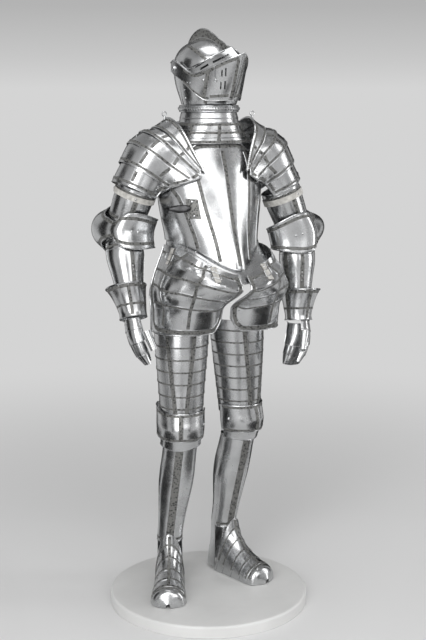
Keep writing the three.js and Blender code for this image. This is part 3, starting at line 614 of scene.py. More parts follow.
# ---- Close helmet: rim and skull ----
# The hollow roped rim turns on the top neck lame. The skull is raised in one piece with its high comb.
HELMET_TURN = 10
PIVOT = {"forward": -35, "height": 1660, "out": 104}
SKULL = rows(["z", "side", "front", "back"], [
    [1549.6, 84, 84, 84],
    [1575, 88, 86, 100],
    [1600, 92.5, 88, 116],
    [1630, 94.5, 95, 130],
    [1660, 95, 102, 135],
    [1690, 90, 97, 131],
    [1715, 74, 77, 119],
    [1732, 52, 51, 98],
    [1741, 29, 27, 72],
    [1745.5, 9, 8, 38],
])
COMB = rows(["turn", "reach", "rise"], [
    [22, 129, 26],
    [29, 122, 20],
    [41, 110, 16],
    [61, 96, 21],
    [76, 89, 29],
    [95, 86.5, 32.5],
    [114, 89, 27],
    [131, 95.7, 16],
    [147, 100.4, 2],
])
FACE = {"hinge": (20, 1638), "slope": 23.5}
HEAD = [0, 20, 1640]


def in_helmet(points):
    """The helmet's own frame, turned a little to its left, to the row frame."""
    c, s = cosine(HELMET_TURN), sine(HELMET_TURN)
    x, y, z = points.T
    return np.stack([x * c - y * s, x * s + y * c, z], -1) + SUIT_AT


def skull(u, v):
    """The bowl: body sections over the height, drawn so that rows crowd towards the crown."""
    share = 1 - (1 - np.clip(v, 0, 1)) ** 1.6
    return around(row_at(SKULL, mix(SKULL["z"][0], SKULL["z"][-1] - 0.01, share)), 360 * u)


def comb(u, v):
    """The ridge over the crown: v runs from brow to nape, u up one side, over the edge and down the other."""
    row = row_at(COMB, mix(22, 147, v))
    side = 2 * u - 1
    height = 1 - np.abs(side) ** 1.15
    reach = row["reach"] - 5 + (row["rise"] + 5) * height
    half = np.sign(side) * (8.5 * np.abs(side) ** 2.2 + 1.4 * np.minimum(np.abs(side) * 5, 1))
    return np.stack([
        half, -PIVOT["forward"] - reach * cosine(row["turn"]), PIVOT["height"] + reach * sine(row["turn"])
    ], -1)


def rope_ring(radius, height, wire, rope, pitch=8.0, steps=420):
    """A bar round a circle at one height."""
    turn = np.linspace(0, 2 * np.pi, steps, endpoint=False)
    out = np.stack([np.sin(turn), -np.cos(turn), np.zeros(steps)], -1)
    return tube(out * radius + [0, 0, height], out, wire, 8, rope, pitch, closed=True)


WIRES = ((1530, 2.6, 0.0), (1538, 5.6, 0.16), (1546, 2.2, 0.0))  # height, radius, depth of the roping
rings = [rope_ring(89.6, z, wire, rope) for z, wire, rope in WIRES]
dress_steel("helmet_roped_rim", rings, ["helmet_rim"], body="helmet", place=in_helmet)


def cut_away(made, centre, turn, size=300):
    """Takes a box out of a mesh: the box's upper back edge lies at `centre`, tipped back by `turn`."""
    low, back = centre[1] - size, centre[0] - size
    corners = np.array([
        [x, y, z] for x in (-size, size) for y in (back, centre[0]) for z in (low, centre[1])
    ], float)
    tipped = corners - [0, *centre]
    y, z = tipped[:, 1].copy(), tipped[:, 2].copy()
    c, s = cosine(turn), sine(turn)
    tipped[:, 1], tipped[:, 2] = y * c + z * s, -y * s + z * c
    corners = in_helmet(tipped + [0, *centre]) / 1000
    cutter = bpy.data.meshes.new("cutter")
    quads = [[0, 1, 3, 2], [4, 6, 7, 5], [0, 4, 5, 1], [2, 3, 7, 6], [0, 2, 6, 4], [1, 5, 7, 3]]
    cutter.from_pydata(corners.tolist(), [], quads)
    take_out(made, cutter)


def take_out(made, cutter):
    """Subtracts a closed mesh from a piece and applies the result."""
    block = bpy.data.objects.new("cutter", cutter)
    bpy.context.scene.collection.objects.link(block)
    change = made.modifiers.new("cut", "BOOLEAN")
    change.object = block
    change.solver = "EXACT"
    with bpy.context.temp_override(object=made, active_object=made, selected_objects=[made]):
        bpy.ops.object.modifier_apply(modifier="cut")
    bpy.data.objects.remove(block)


shell = dress_steel(
    "helmet_skull_bowl", [wall(skull, 120, 64, HEAD, closed=True)],
    ["helmet_skull"], body="helmet", place=in_helmet,
)
cut_away(shell, FACE["hinge"], FACE["slope"])
cut_away(shell, FACE["hinge"], 0)
crest = wall(comb, 24, 90, HEAD, thickness=2.4)
dress_etched("helmet_comb", [crest], body="helmet", place=in_helmet)
trim = [roll(comb, upright(0.5, 0.01, 0.99, 60), 1.7, HEAD, 160, rope=0.2, pitch=6)]
trim += [strip(comb, upright(u, 0.015, 0.985, 60), LINE, HEAD, 80, 1) for u in (0.12, 0.88)]
dress_steel("helmet_comb_edge", trim, body="helmet", place=in_helmet)


SKULL_BANDS = mirrored([
    [(0.885, 0.51), (0.862, 0.57), (0.836, 0.625), (0.8, 0.68), (0.7425, 0.739), (0.7, 0.77)],
])
dress_etched(
    "skull_bands", [strip(skull, path, 10, HEAD, 40) for path in SKULL_BANDS], body="helmet", place=in_helmet
)
dress_steel("skull_lines", edged(skull, SKULL_BANDS, HEAD, 5, 40, 0.55, 1.3), body="helmet", place=in_helmet)


# ---- Close helmet: bevors and visor ----
# The lower bevor is riveted to the rim. The upper bevor, a pointed prow, and the visor inside it
# both turn on the domed pivots. Sights and breaths are pierced as narrow slots.
LOWER_BEVOR = rows(["z", "side", "front", "back"], [
    [1549.6, 84, 84, 84],
    [1565, 88, 93, 94],
    [1600, 94, 104, 112],
    [1632, 96.5, 110, 128],
])
BEVOR_EDGE = rows(["t", "low", "top"], [
    [0, 1564, 1701],
    [0.22, 1564, 1684],
    [0.43, 1565, 1660],
    [0.63, 1587, 1642],
    [0.75, 1605, 1649],
    [0.88, 1625, 1668],
    [1, 1640, 1683],
    [1.12, 1652, 1676],
])
VISOR_EDGE = rows(["t", "low", "top"], [
    [0, 1690, 1722],
    [0.42, 1655, 1687],
    [0.64, 1636, 1663],
    [0.8, 1638, 1658],
    [1, 1650, 1672],
])
PROW = {
    "low": 123, "top": 186, "side": 104, "round": 1.4,
    "behind": 150, "foot": 1564, "rise": 137, "swell": 0.85,
}
VISOR = {"reach": (163, 118), "round": (1.37, 1.93), "side": 100.8}


def lower_bevor(u, v):
    z = mix(LOWER_BEVOR["z"][0], LOWER_BEVOR["z"][-1], np.clip(v, 0, 1))
    return around(row_at(LOWER_BEVOR, z), mix(-98, 98, u))


def prow(t, reach, half, power):
    """Half plan of a piece on the pivots: x by a sine to the pivot, depth by a power, then straight back."""
    s = np.minimum(np.abs(t), 1)
    behind = np.maximum(np.abs(t) - 1, 0) * PROW["behind"]
    y = -(PIVOT["forward"] + (reach - PIVOT["forward"]) * (1 - s**power) - behind)
    return np.sign(t) * half * sine(90 * s), y


def upper_bevor(u, v):
    t = mix(-1.12, 1.12, u)
    row = row_at(BEVOR_EDGE, np.clip(np.abs(t), 0, 1.12))
    z = mix(row["low"], row["top"], v)
    reach = mix(PROW["low"], PROW["top"], (np.maximum(z - PROW["foot"], 0) / PROW["rise"]) ** PROW["swell"])
    return np.stack([*prow(t, reach, PROW["side"], PROW["round"]), z], -1)


def visor(u, v):
    t = mix(-1, 1, u)
    row = row_at(VISOR_EDGE, np.clip(np.abs(t), 0, 1))
    x, y = prow(t, mix(*VISOR["reach"], v), VISOR["side"], mix(*VISOR["round"], v))
    return np.stack([x, y, mix(row["low"], row["top"], v)], -1)


FACE_IN, JAW_IN, EYES_IN = [0, 0, 1630], [0, 0, 1580], [0, 0, 1600]
dress_steel(
    "lower_bevor_shell", [wall(lower_bevor, 80, 24, JAW_IN)], ["lower_bevor"], body="helmet", place=in_helmet
)
bevor = dress_steel(
    "upper_bevor_shell", [wall(upper_bevor, 120, 48, FACE_IN)],
    ["upper_bevor"], body="upper_bevor_body", place=in_helmet,
)
sights = dress_steel(
    "visor_shell", [wall(visor, 120, 16, EYES_IN)], ["visor"], body="visor_body", place=in_helmet
)
CUT = {"lift": 5, "thickness": 12, "columns": 2}
BREATHS = mirrored([
    [(0.378, 0.78), (0.385, 0.6)],
    [(0.399, 0.79), (0.408, 0.58)],
    [(0.386, 0.465), (0.395, 0.275)],
    [(0.412, 0.465), (0.421, 0.265)],
])
SIGHTS = mirrored([[(0.311, 0.51), (0.442, 0.555)], [(0.214, 0.505), (0.276, 0.51)]])
GROOVES = mirrored([[(0.3, 0.93), (0.432, 0.94)], [(0.18, 0.9), (0.262, 0.93)]])


def pierce(made, cuts):
    """Cuts slots through a plate: closed blocks that follow its surface, taken out of it in one go."""
    points, faces, first = [], [], 0
    for cut in cuts:
        points.append(cut[0])
        faces += (cut[1] + first).tolist()
        first += len(cut[0])
    block = bpy.data.meshes.new("cutter")
    block.from_pydata((in_helmet(np.concatenate(points)) / 1000).tolist(), [], faces)
    take_out(made, block)


pierce(bevor, [strip(upper_bevor, path, 4.2, FACE_IN, 10, **CUT) for path in BREATHS])
cuts = [strip(visor, path, 6.5, EYES_IN, 16, **CUT) for path in SIGHTS]
cuts += [strip(visor, path, 3.2, EYES_IN, 16, **CUT) for path in GROOVES]
pierce(sights, cuts)
UPRIGHTS = mirrored([[(0.297, 0.9), (0.294, 0.43), (0.294, 0.04)]])
RIDGES = mirrored([[(0.47, 0.9), (0.476, 0.45), (0.484, 0.05)]])
SQUARES = mirrored([[(0.335, 0.12), (0.4, 0.115), (0.46, 0.11)]])
BROWS = mirrored([[(0.13, 0.9), (0.2, 0.9), (0.3, 0.92), (0.38, 0.93), (0.47, 0.935)]])
HEMS = mirrored([[(0.13, 0.08), (0.18, 0.06), (0.24, 0.05), (0.29, 0.055), (0.33, 0.07)]])
bands = [strip(upper_bevor, path, 12, FACE_IN, 40) for path in UPRIGHTS]
bands += [strip(upper_bevor, path, 9, FACE_IN, 40) for path in RIDGES + SQUARES + BROWS]
bands += [strip(upper_bevor, path, 6, FACE_IN, 40) for path in HEMS]
dress_etched("bevor_bands", bands, body="upper_bevor_body", place=in_helmet)
trim = edged(upper_bevor, UPRIGHTS, FACE_IN, 5.5, 40, width=1.2)
trim += edged(upper_bevor, RIDGES + SQUARES + BROWS, FACE_IN, 4, 40, width=1.2)
trim += [roll(upper_bevor, level(1.0, 121), 2.0, FACE_IN, 300, rope=0.22, pitch=6)]
trim += [roll(upper_bevor, level(0.0, 121), 1.3, FACE_IN, 240)]
trim += [studs(upper_bevor, [(0.164, 0.25), (0.184, 0.36), (0.836, 0.25), (0.816, 0.36)], 2.6, 1.8, FACE_IN)]
trim += [studs(upper_bevor, [(0.271, 0.652)], 4.2, 2.6, FACE_IN)]
dress_steel("bevor_trim", trim, body="upper_bevor_body", place=in_helmet)
LOWER_BANDS = mirrored([[(0.287, 0.05), (0.285, 0.5), (0.284, 0.95)]])
dress_etched(
    "lower_bevor_bands", [strip(lower_bevor, path, 11, JAW_IN, 30) for path in LOWER_BANDS],
    body="helmet", place=in_helmet,
)
trim = [roll(visor, level(v, 97), 1.2, EYES_IN, 200) for v in (0.0, 1.0)]
dress_steel("visor_edges", trim, body="visor_body", place=in_helmet)
HINGES = [(0.055, 0.25), (0.055, 0.55), (0.06, 0.85)]
dress_steel(
    "bevor_hinge_knobs", [studs(lower_bevor, HINGES + [(1 - u, v) for u, v in HINGES], 3.6, 3.4, JAW_IN)],
    body="helmet", place=in_helmet,
)

# The latch: a swivel hook on the right of the bevor, with the ring that its tip drops through.
hook_u, hook_v = np.array([0.331, 0.336, 0.343, 0.35]), np.array([0.97, 0.85, 0.7, 0.6])
points, normal, _, _ = frame_of(upper_bevor, hook_u, hook_v, FACE_IN)
share = np.linspace(0, 3, 30)
line = np.stack([np.interp(share, range(4), (points + normal * 2.6)[:, k]) for k in range(3)], -1)
normals = np.stack([np.interp(share, range(4), normal[:, k]) for k in range(3)], -1)
hook = tube(line, normals, np.interp(share, [0, 0.3, 2.6, 3], [3.4, 2.2, 1.6, 1.2])[:, None])
centre, out, across, _ = frame_of(upper_bevor, np.array([0.3512]), np.array([0.545]), FACE_IN)
turn = np.linspace(0, 2 * np.pi, 36, endpoint=False)[:, None]
side = across / np.linalg.norm(across)
spokes = np.cos(turn) * side + np.sin(turn) * np.cross(out, side)
ring = tube(centre + out * 1.8 + spokes * 4.4, spokes, 1.3, closed=True)
dress_steel("bevor_latch_hook", [hook, ring], body="upper_bevor_body", place=in_helmet)

BOLT = [[0, -1], [9, -1], [9, 0.6], [8.4, 3], [6.6, 5], [4.2, 6.6], [1.8, 7.4], [0, 7.5]]
for side, sign in (("right", -1), ("left", 1)):
    points, quads, ends = closed_round(BOLT, 40)
    x, y, z = points.T
    bolt = np.stack([sign * (PIVOT["out"] + 0.4 + z), -PIVOT["forward"] - sign * x, PIVOT["height"] + y], -1)
    dress_steel(
        f"pivot_dome_{side}", [(bolt, quads, ends)],
        [f"pivot_bolt_{side}"], body="upper_bevor_body", place=in_helmet,
    )


# ---- Pauldrons ----
# Five steel lames fan over each shoulder from the neck to the arm, sliding on leathers inside.
PAULDRON = rows(["t", "x", "z", "slope", "out", "low", "front", "back", "ends", "narrow"], [
    [0, 102, 1430, 67, 87, 96, 92, 95, 150, 0],
    [0.25, 126, 1418, 53, 84, 84, 98, 98, 150, 0],
    [0.45, 156, 1412, 45, 85, 118, 100, 98, 150, 0],
    [0.65, 186, 1384, 38, 88, 110, 94, 92, 150, 0.15],
    [0.85, 213, 1337, 33, 82, 86, 84, 84, 136, 0.75],
    [1, 235, 1290, 25, 77, 77, 78, 78, 128, 1],
])
ARMS = {
    "right": {"shoulder": [-190, 0, 1425], "elbow": [-268, 60, 1167], "wrist": [-270, -40, 915], "turn": -24,
              "cop": 212, "wing": 58},
    "left": {"shoulder": [190, 0, 1425], "elbow": [303, -15, 1135], "wrist": [288, -60, 871], "turn": 14,
             "cop": 112, "wing": 44},
}
SHOULDER_LAMES = [0, 0.25, 0.45, 0.65, 0.85, 1]
SHOULDER = {"overlap": [0, 0.035, 0.035, 0.035, 0.02], "step": [0, 1, 1, 1, 1.9], "clear": 12, "soften": 6}
LAME_STEP = 4.2
SIDES = (("right", -1), ("left", 1))


def body_depth(x, z, ahead):
    """Depth of the body under a point of the pauldron, from the chest's half ellipse."""
    section = row_at(TORSO, z)
    share = np.minimum(x / (section["side"] + SHOULDER["clear"]), 1)
    return np.where(ahead, section["front"], section["back"]) * np.sqrt(np.maximum(1 - share**2, 0))


def shoulder_of(side, sign, start, end):
    """One lame between two values of t: u swings from the chest over the top to the back."""
    arm = ARMS[side]

    def surface(u, v):
        t = mix(start, end, v)
        row = row_at(PAULDRON, t)
        swing = mix(-row["ends"], row["ends"], u)
        rise = np.where(cosine(swing) > 0, row["out"], row["low"]) * cosine(swing)
        x = row["x"] + rise * cosine(row["slope"])
        z = row["z"] + rise * sine(row["slope"])
        turn = np.abs(swing)
        square = sine(np.minimum(turn, 90))
        own = np.where(swing < 0, row["front"], row["back"]) * mix(square, sine(turn), row["narrow"])
        middle = np.clip(t, 0, 1) * mix(arm["shoulder"][1], arm["elbow"][1], 0.45)
        clear = SHOULDER["clear"] - np.sign(swing) * middle
        body = (body_depth(x, z, swing < 0) + clear) * square
        power = SHOULDER["soften"]
        depth = (np.maximum(own, 0) ** power + np.maximum(body, 0) ** power) ** (1 / power)
        return np.stack([sign * x, middle + np.sign(swing) * depth, z], -1)

    return surface


PAULDRON_BANDS = [
    [(0.345, 0.27), (0.322, 0.5), (0.313, 0.67), (0.309, 0.77), (0.301, 0.86), (0.293, 0.98)],
    [(0.2, 0.06), (0.168, 0.4), (0.147, 0.63), (0.134, 0.77), (0.125, 0.84)],
    [(0.655, 0.27), (0.678, 0.5), (0.687, 0.67), (0.699, 0.86), (0.707, 0.98)],
    [(0.8, 0.06), (0.832, 0.4), (0.853, 0.63), (0.875, 0.84)],
]
for side, sign in SIDES:
    inside = [sign * 190, 0, 1360]
    bands, trim = [], []
    for k in range(5):
        start, end = SHOULDER_LAMES[k] - SHOULDER["overlap"][k], SHOULDER_LAMES[k + 1]
        surface = shoulder_of(side, sign, start, end)
        step = SHOULDER["step"][k] * LAME_STEP
        dress_steel(
            f"pauldron_lame_{k + 1}_{side}", [wall(surface, 80, 12, inside, step=step)],
            [f"pauldron_{k + 1}_{side}"],
        )
        low = level(1 - 0.028 / (end - start), 61, 0.03, 0.97)
        bands.append(strip(surface, low, 9, inside, 90, lift=0.15))
        trim += edged(surface, [low], inside, 4.6, 90, lift=0.5)
        for band in PAULDRON_BANDS:
            line_u, line_t = np.array(band).T
            t = np.linspace(max(start + 0.045, line_t[0]), min(end - 0.045, line_t[-1]), 8)
            if t[-1] - t[0] < 0.02:
                continue
            across = list(zip(np.interp(t, line_t, line_u), (t - start) / (end - start)))
            sunk = np.interp(0.55, [0, 1], [step, 0])
            bands.append(strip(surface, across, 10, inside, 16, lift=0.2 - sunk * 0.6, thickness=3.0))
        fronts = [upright(u, 0.1, 0.97, 9) for u in (0.028, 0.972)]
        bands += [
            strip(surface, path, 9, inside, 16, lift=0.2 - step * 0.3, thickness=3.0) for path in fronts
        ]
        trim.append(roll(surface, level(1.0), 1.3, inside, 120))
        for u in (0.0, 1.0):
            trim.append(roll(surface, upright(u, 0.02, 1, 9), 2.4, inside, 24, rope=0.2,
                             out=-step * 0.3))
        rivets = [(u, 0.55) for u in (0.06, 0.5, 0.94)]
        trim.append(studs(surface, rivets, 2.8, 1.8, inside, lift=-step * 0.4))
    first = shoulder_of(side, sign, 0, 0.25)
    trim.append(roll(first, level(0.0), 3.0, inside, 220, rope=0.22))
    bands.append(strip(first, level(0.13, 61, 0.04, 0.96), 10, inside, 120))
    dress_etched(f"pauldron_bands_{side}", bands)
    dress_steel(f"pauldron_trim_{side}", trim)


# ---- Arms ----
# Tubes of steel plate: upper and lower cannons, a winged couter over the elbow, and a mitten gauntlet
# of lames with a flared cuff. A buff leather strap holds each upper cannon.
UPPER_ARM = rows(["share", "radius"], [[0.48, 62], [0.66, 60], [0.9, 54]])
FOREARM = rows(["share", "radius"], [[0.11, 54], [0.3, 58], [0.5, 50], [0.74, 41]])
CUFF = rows(["share", "inner", "outer", "deep"], [
    [0.66, 50, 72, 70],
    [0.8, 45.5, 54, 55],
    [0.96, 41, 42, 44],
    [1.02, 41, 43, 45],
])
COUTER = {"radius": 64, "point": 62, "wing": 10, "spread": 24, "waist": 29, "cop": 22,
          "outward": 54, "inward": 90}
HAND = rows(["share", "thick", "deep"], [[0, 32, 42], [0.25, 34, 48], [0.5, 32, 52]])
FINGERS = rows(["share", "thick", "deep"], [[0.51, 31, 51], [0.75, 27, 48], [1, 16, 38]])
HANDS = {
    "right": {
        "knuckles": [-262, -66, 842], "tips": [-236, -84, 776],
        "thumb": [[-256, -112, 880], [-240, -134, 826]],
    },
    "left": {
        "knuckles": [272, -86, 802], "tips": [236, -112, 738],
        "thumb": [[272, -136, 842], [252, -160, 788]],
    },
}
STRAP = {"share": (0.54, 0.6), "radius": 66, "thick": 2.4}


def straight(start, end):
    """A straight path: points at shares of it, and its heading."""
    start, end = np.array(start, float), np.array(end, float)
    heading = (end - start) / np.linalg.norm(end - start)
    return (
        lambda s: start + (end - start) * s[..., None],
        lambda s: np.broadcast_to(heading, (*s.shape, 3)),
    )


def bent(points):
    """A centripetal spline through three points, measured so that shares are even lengths."""
    p = np.array(points, float)
    ends = [2 * p[0] - p[1], *p, 2 * p[2] - p[1]]
    fine = []
    for k in (0, 1):
        a, b, c, d = ends[k : k + 4]
        gaps = [np.linalg.norm(q - r) ** 0.5 for q, r in ((b, a), (c, b), (d, c))]
        m1 = (b - a) / gaps[0] - (c - a) / (gaps[0] + gaps[1]) + (c - b) / gaps[1]
        m2 = (c - b) / gaps[1] - (d - b) / (gaps[1] + gaps[2]) + (d - c) / gaps[2]
        m1, m2 = m1 * gaps[1], m2 * gaps[1]
        t = np.linspace(0, 1, 101)[:, None]
        fine.append(b + m1 * t + (3 * (c - b) - 2 * m1 - m2) * t**2 + (2 * (b - c) + m1 + m2) * t**3)
    fine = np.concatenate([fine[0], fine[1][1:]])
    run = np.concatenate([[0], np.cumsum(np.linalg.norm(np.diff(fine, axis=0), axis=-1))])
    length = run[-1]

    def at(s):
        return np.stack([np.interp(s * length, run, fine[:, k]) for k in range(3)], -1)

    def heading(s):
        ahead = at(np.minimum(s + 0.01, 1)) - at(np.maximum(s - 0.01, 0))
        return ahead / np.linalg.norm(ahead, axis=-1, keepdims=True)

    return at, heading, length


def limb(path, turn, share, angle, front, behind, left, right):
    """A point round a limb: down its path, then out by half ellipses. Angle 0 is its front, 90 its left."""
    at, heading = path[0], path[1]
    share = np.broadcast_to(share, np.broadcast_shapes(np.shape(share), np.shape(angle))).astype(float)
    down = heading(share)
    ahead = np.cross(down, [cosine(turn), sine(turn), 0.0])
    ahead /= np.linalg.norm(ahead, axis=-1, keepdims=True)
    sideways = np.cross(ahead, down)
    deep = np.where(cosine(angle) > 0, front, behind)
    wide = np.where(sine(angle) > 0, left, right)
    return at(share) + sideways * (wide * sine(angle))[..., None] + ahead * (deep * cosine(angle))[..., None]


# Whitened buff leather: tawed hide, dull and slightly nappy, with random darker and paler blotches and fine
# creases.
leather, tree, shader, place = material("whitened buff leather", 0.75)
feed(
    tree, shader, place, blots(14, 5.0), [(0.3, "#9A9894"), (0.7, "#C8C6C1")],
    relief=blots(2.5, 4.0), depth=0.25,
)
shader.inputs["Sheen Weight"].default_value = 0.2

for side, sign in SIDES:
    arm = ARMS[side]
    turn = arm["turn"]
    upper, lower = straight(arm["shoulder"], arm["elbow"]), straight(arm["elbow"], arm["wrist"])
    elbow = [float(x) for x in arm["elbow"]]

    def half(path, s):
        return path[0](np.array(s)).tolist()

    def cannon(u, v):
        row = row_at(UPPER_ARM, mix(0.48, 0.9, v))
        return limb(upper, turn, row["share"], 360 * u, *[row["radius"]] * 4)

    def strap(u, v):
        return limb(upper, turn, mix(*STRAP["share"], v), 360 * u, *[STRAP["radius"]] * 4)

    bend = bent([half(upper, 0.6), elbow, half(lower, 0.4)])

    def couter(u, v):
        """A cop behind and a round wing over the bend, joined by a narrow waist on the outside."""
        angle = 360 * (u % 1)
        behind = np.exp(-(((angle - arm["cop"]) / 52) ** 2))
        inward = -sign * ((angle + sign * 35 + 180) % 360 - 180)
        reach = np.where(inward < 0, COUTER["outward"], COUTER["inward"])
        wing = np.sqrt(np.maximum(1 - (inward / reach) ** 2, 0))
        across = 2 * v - 1
        bulge = np.maximum(1 - across**2, 0)
        half_length = COUTER["waist"] + arm["wing"] * wing + COUTER["cop"] * behind
        radius = COUTER["radius"] + 4 * bulge + COUTER["point"] * behind * bulge**1.6
        spread = COUTER["wing"] + COUTER["spread"] * smooth(inward, 0, 70)
        radius = radius + spread * np.exp(-((inward / reach) ** 8))
        return limb(bend, turn, 0.5 + across * half_length / bend[2], angle, *[radius] * 4)

    def forearm(u, v):
        row = row_at(FOREARM, mix(0.11, 0.74, v))
        return limb(lower, turn, row["share"], 360 * u, *[row["radius"]] * 4)

    def cuff(u, v):
        row = row_at(CUFF, mix(0.66, 1.02, v))
        near, far = (row["outer"], row["inner"]) if sign > 0 else (row["inner"], row["outer"])
        return limb(lower, turn, row["share"], 360 * u, row["deep"], row["deep"], near, far)

    palm = bent([half(lower, 1.035), HANDS[side]["knuckles"], HANDS[side]["tips"]])
    thumb_path = straight(*HANDS[side]["thumb"])

    def hand_part(table, share, u, spread, ripple):
        row = row_at(table, share)
        grow = 1 + ripple * np.abs(sine(720 * u))
        size = [row["deep"] * grow] * 2 + [row["thick"] * grow] * 2
        return limb(palm, turn, share, sign * (90 + spread * (2 * u - 1)), *size)

    def hand(u, v):
        return hand_part(HAND, mix(0, 0.5, v), u, 125, 0)

    def fingers(u, v):
        return hand_part(FINGERS, mix(0.512, 1, v), u, 112, 0.05)

    def thumb(u, v):
        return limb(thumb_path, turn, v, mix(-125, 125, u), *[mix(15, 11, v)] * 4)

    middles = {
        "upper": half(upper, 0.67), "elbow": elbow, "lower": half(lower, 0.45), "cuff": half(lower, 0.84),
        "hand": half(lower, 1.035), "fingers": HANDS[side]["knuckles"], "thumb": HANDS[side]["thumb"][0],
    }
    tube_wall = wall(cannon, 72, 16, middles["upper"], closed=True)
    dress_steel(f"upper_cannon_tube_{side}", [tube_wall], [f"upper_cannon_{side}"])
    band = wall(strap, 72, 4, middles["upper"], closed=True, thickness=STRAP["thick"])
    make(f"arm_leather_{side}", [band], leather, "suit", [f"arm_strap_{side}"], place=in_suit)
    for name, surface, middle, size, node_name in (
        ("couter_shell", couter, "elbow", {"across": 120, "along": 40, "closed": True}, "couter"),
        ("lower_cannon_tube", forearm, "lower", {"across": 72, "along": 24, "closed": True}, "lower_cannon"),
        ("gauntlet_cuff_shell", cuff, "cuff", {"across": 72, "along": 24, "closed": True}, "gauntlet_cuff"),
        ("hand_plates", hand, "hand", {"across": 48, "along": 8, "lames": 2, "step": 1.2}, "hand_lames"),
        ("finger_plates", fingers, "fingers",
         {"across": 60, "along": 8, "lames": 2, "step": 1.2}, "finger_lames"),
        ("thumb_plates", thumb, "thumb",
         {"across": 32, "along": 8, "lames": 2, "step": 1, "thickness": 1.5}, "thumb_lames"),
    ):
        plate = wall(surface, inside=middles[middle], **size)
        dress_steel(f"{name}_{side}", [plate], [f"{node_name}_{side}"])
    # A border follows each edge of the couter's wing, with a roped edge outside it.
    ridges = [upright(u, 0.16, 0.8, 9) for u in (-sign * 0.03, 0.5)]
    fore = [-sign * 0.067 % 1, 0.28, 0.53, 0.78]
    bands = [strip(cannon, level(0.14, 97), 12, middles["upper"], 84)]
    bands += [strip(cannon, path, 16, middles["upper"], 24) for path in ridges]
    bands += [strip(cannon, level(0.86, 97), 8, middles["upper"], 84)]
    bands += [strip(forearm, upright(u, 0.06, 0.94), 13, middles["lower"], 24) for u in fore]
    bands += [strip(forearm, level(0.14, 97), 8, middles["lower"], 84)]
    bands += [strip(cuff, level(v, 97), width, middles["cuff"], 84) for v, width in ((0.07, 11), (0.62, 7))]
    bands += [strip(cuff, upright(u, 0.1, 0.95), 10, middles["cuff"], 24) for u in (0.0, 0.25, 0.5, 0.75)]
    bands += [strip(couter, level(v, 145), 10, elbow, 140) for v in (0.09, 0.91)]
    dress_etched(f"arm_bands_{side}", bands)
    trim = [roll(couter, level(v, 97), 2.2, elbow, 260, closed=True, rope=0.2) for v in (0.0, 1.0)]
    trim += [strip(couter, level(v, 145), 1.2, elbow, 140, 1, lift=0.6) for v in (0.03, 0.15, 0.85, 0.97)]
    trim += [studs(couter, [(-sign * 0.075 % 1, 0.5), (-sign * 0.12 % 1, 0.5)], 4.2, 2.6, elbow)]
    trim += [roll(cuff, level(0.0, 97), 2.6, middles["cuff"], 193, closed=True, rope=0.2)]
    trim += [studs(cuff, [(u, 0.045) for u in np.arange(0, 1, 1 / 14)], 2.2, 1.8, middles["cuff"])]
    for surface, radius, middle, edges in (
        (cuff, 1.6, "cuff", (1.0,)),
        (cannon, 1.6, "upper", (0.0, 0.08, 0.8, 1.0)),
        (forearm, 1.4, "lower", (0.0, 0.09, 0.2)),
    ):
        trim += [roll(surface, level(v, 97), radius, middles[middle], 97, closed=True) for v in edges]
    trim += edged(forearm, [upright(u, 0.05, 0.95) for u in fore], middles["lower"], 6.5, 24)
    trim += edged(cannon, ridges, middles["upper"], 8, 24)
    trim += [studs(forearm, [(fore[0], v) for v in (0.55, 0.62, 0.7)], 2.6, 1.8, middles["lower"])]
    trim += [studs(strap, [(u, 0.5) for u in (0.02, 0.3, 0.75)], 3.6, 2.4, middles["upper"])]
    trim += [roll(hand, level(v, 61), 1.1, middles["hand"], 90) for v in (0.0, 0.5)]
    trim += [roll(fingers, level(v, 61), 1.0, middles["fingers"], 90) for v in (0.0, 0.5)]
    rivets = [(u, v) for u in (0.05, 0.35, 0.65, 0.95) for v in (0.2, 0.7)]
    trim += [studs(hand, rivets, 2.2, 1.4, middles["hand"])]
    dress_steel(f"arm_trim_{side}", trim)


# ---- Tassets ----
# Long skirts of five lames each over the thighs, hung from the fauld on straps.
TASSET = rows(["z", "centre", "inner", "outer", "deep"], [
    [1130, 78, 92, 80, 170],
    [1085, 93, 104, 86, 178],
    [1030, 102, 114, 95, 176],
    [985, 105, 118, 99, 164],
    [940, 105, 118, 100, 148],
    [860, 105, 112, 100, 118],
])
TASSET_EDGE = {
    "inner": -50, "outer": 92, "round": 50, "bottom": 862, "corner": 40, "behind": -30, "square": 0.75,
    "under": 14, "clear": 8, "deepest": 58, "leave": (930, 1030),
}
TASSET_MARKS = (0, 0.1, 0.3, 0.475, 0.655, 1)
STRAPS_AT = (0.3, 0.83)
BUCKLE = {"half": 0.045, "top": 0.08, "foot": 0.15}


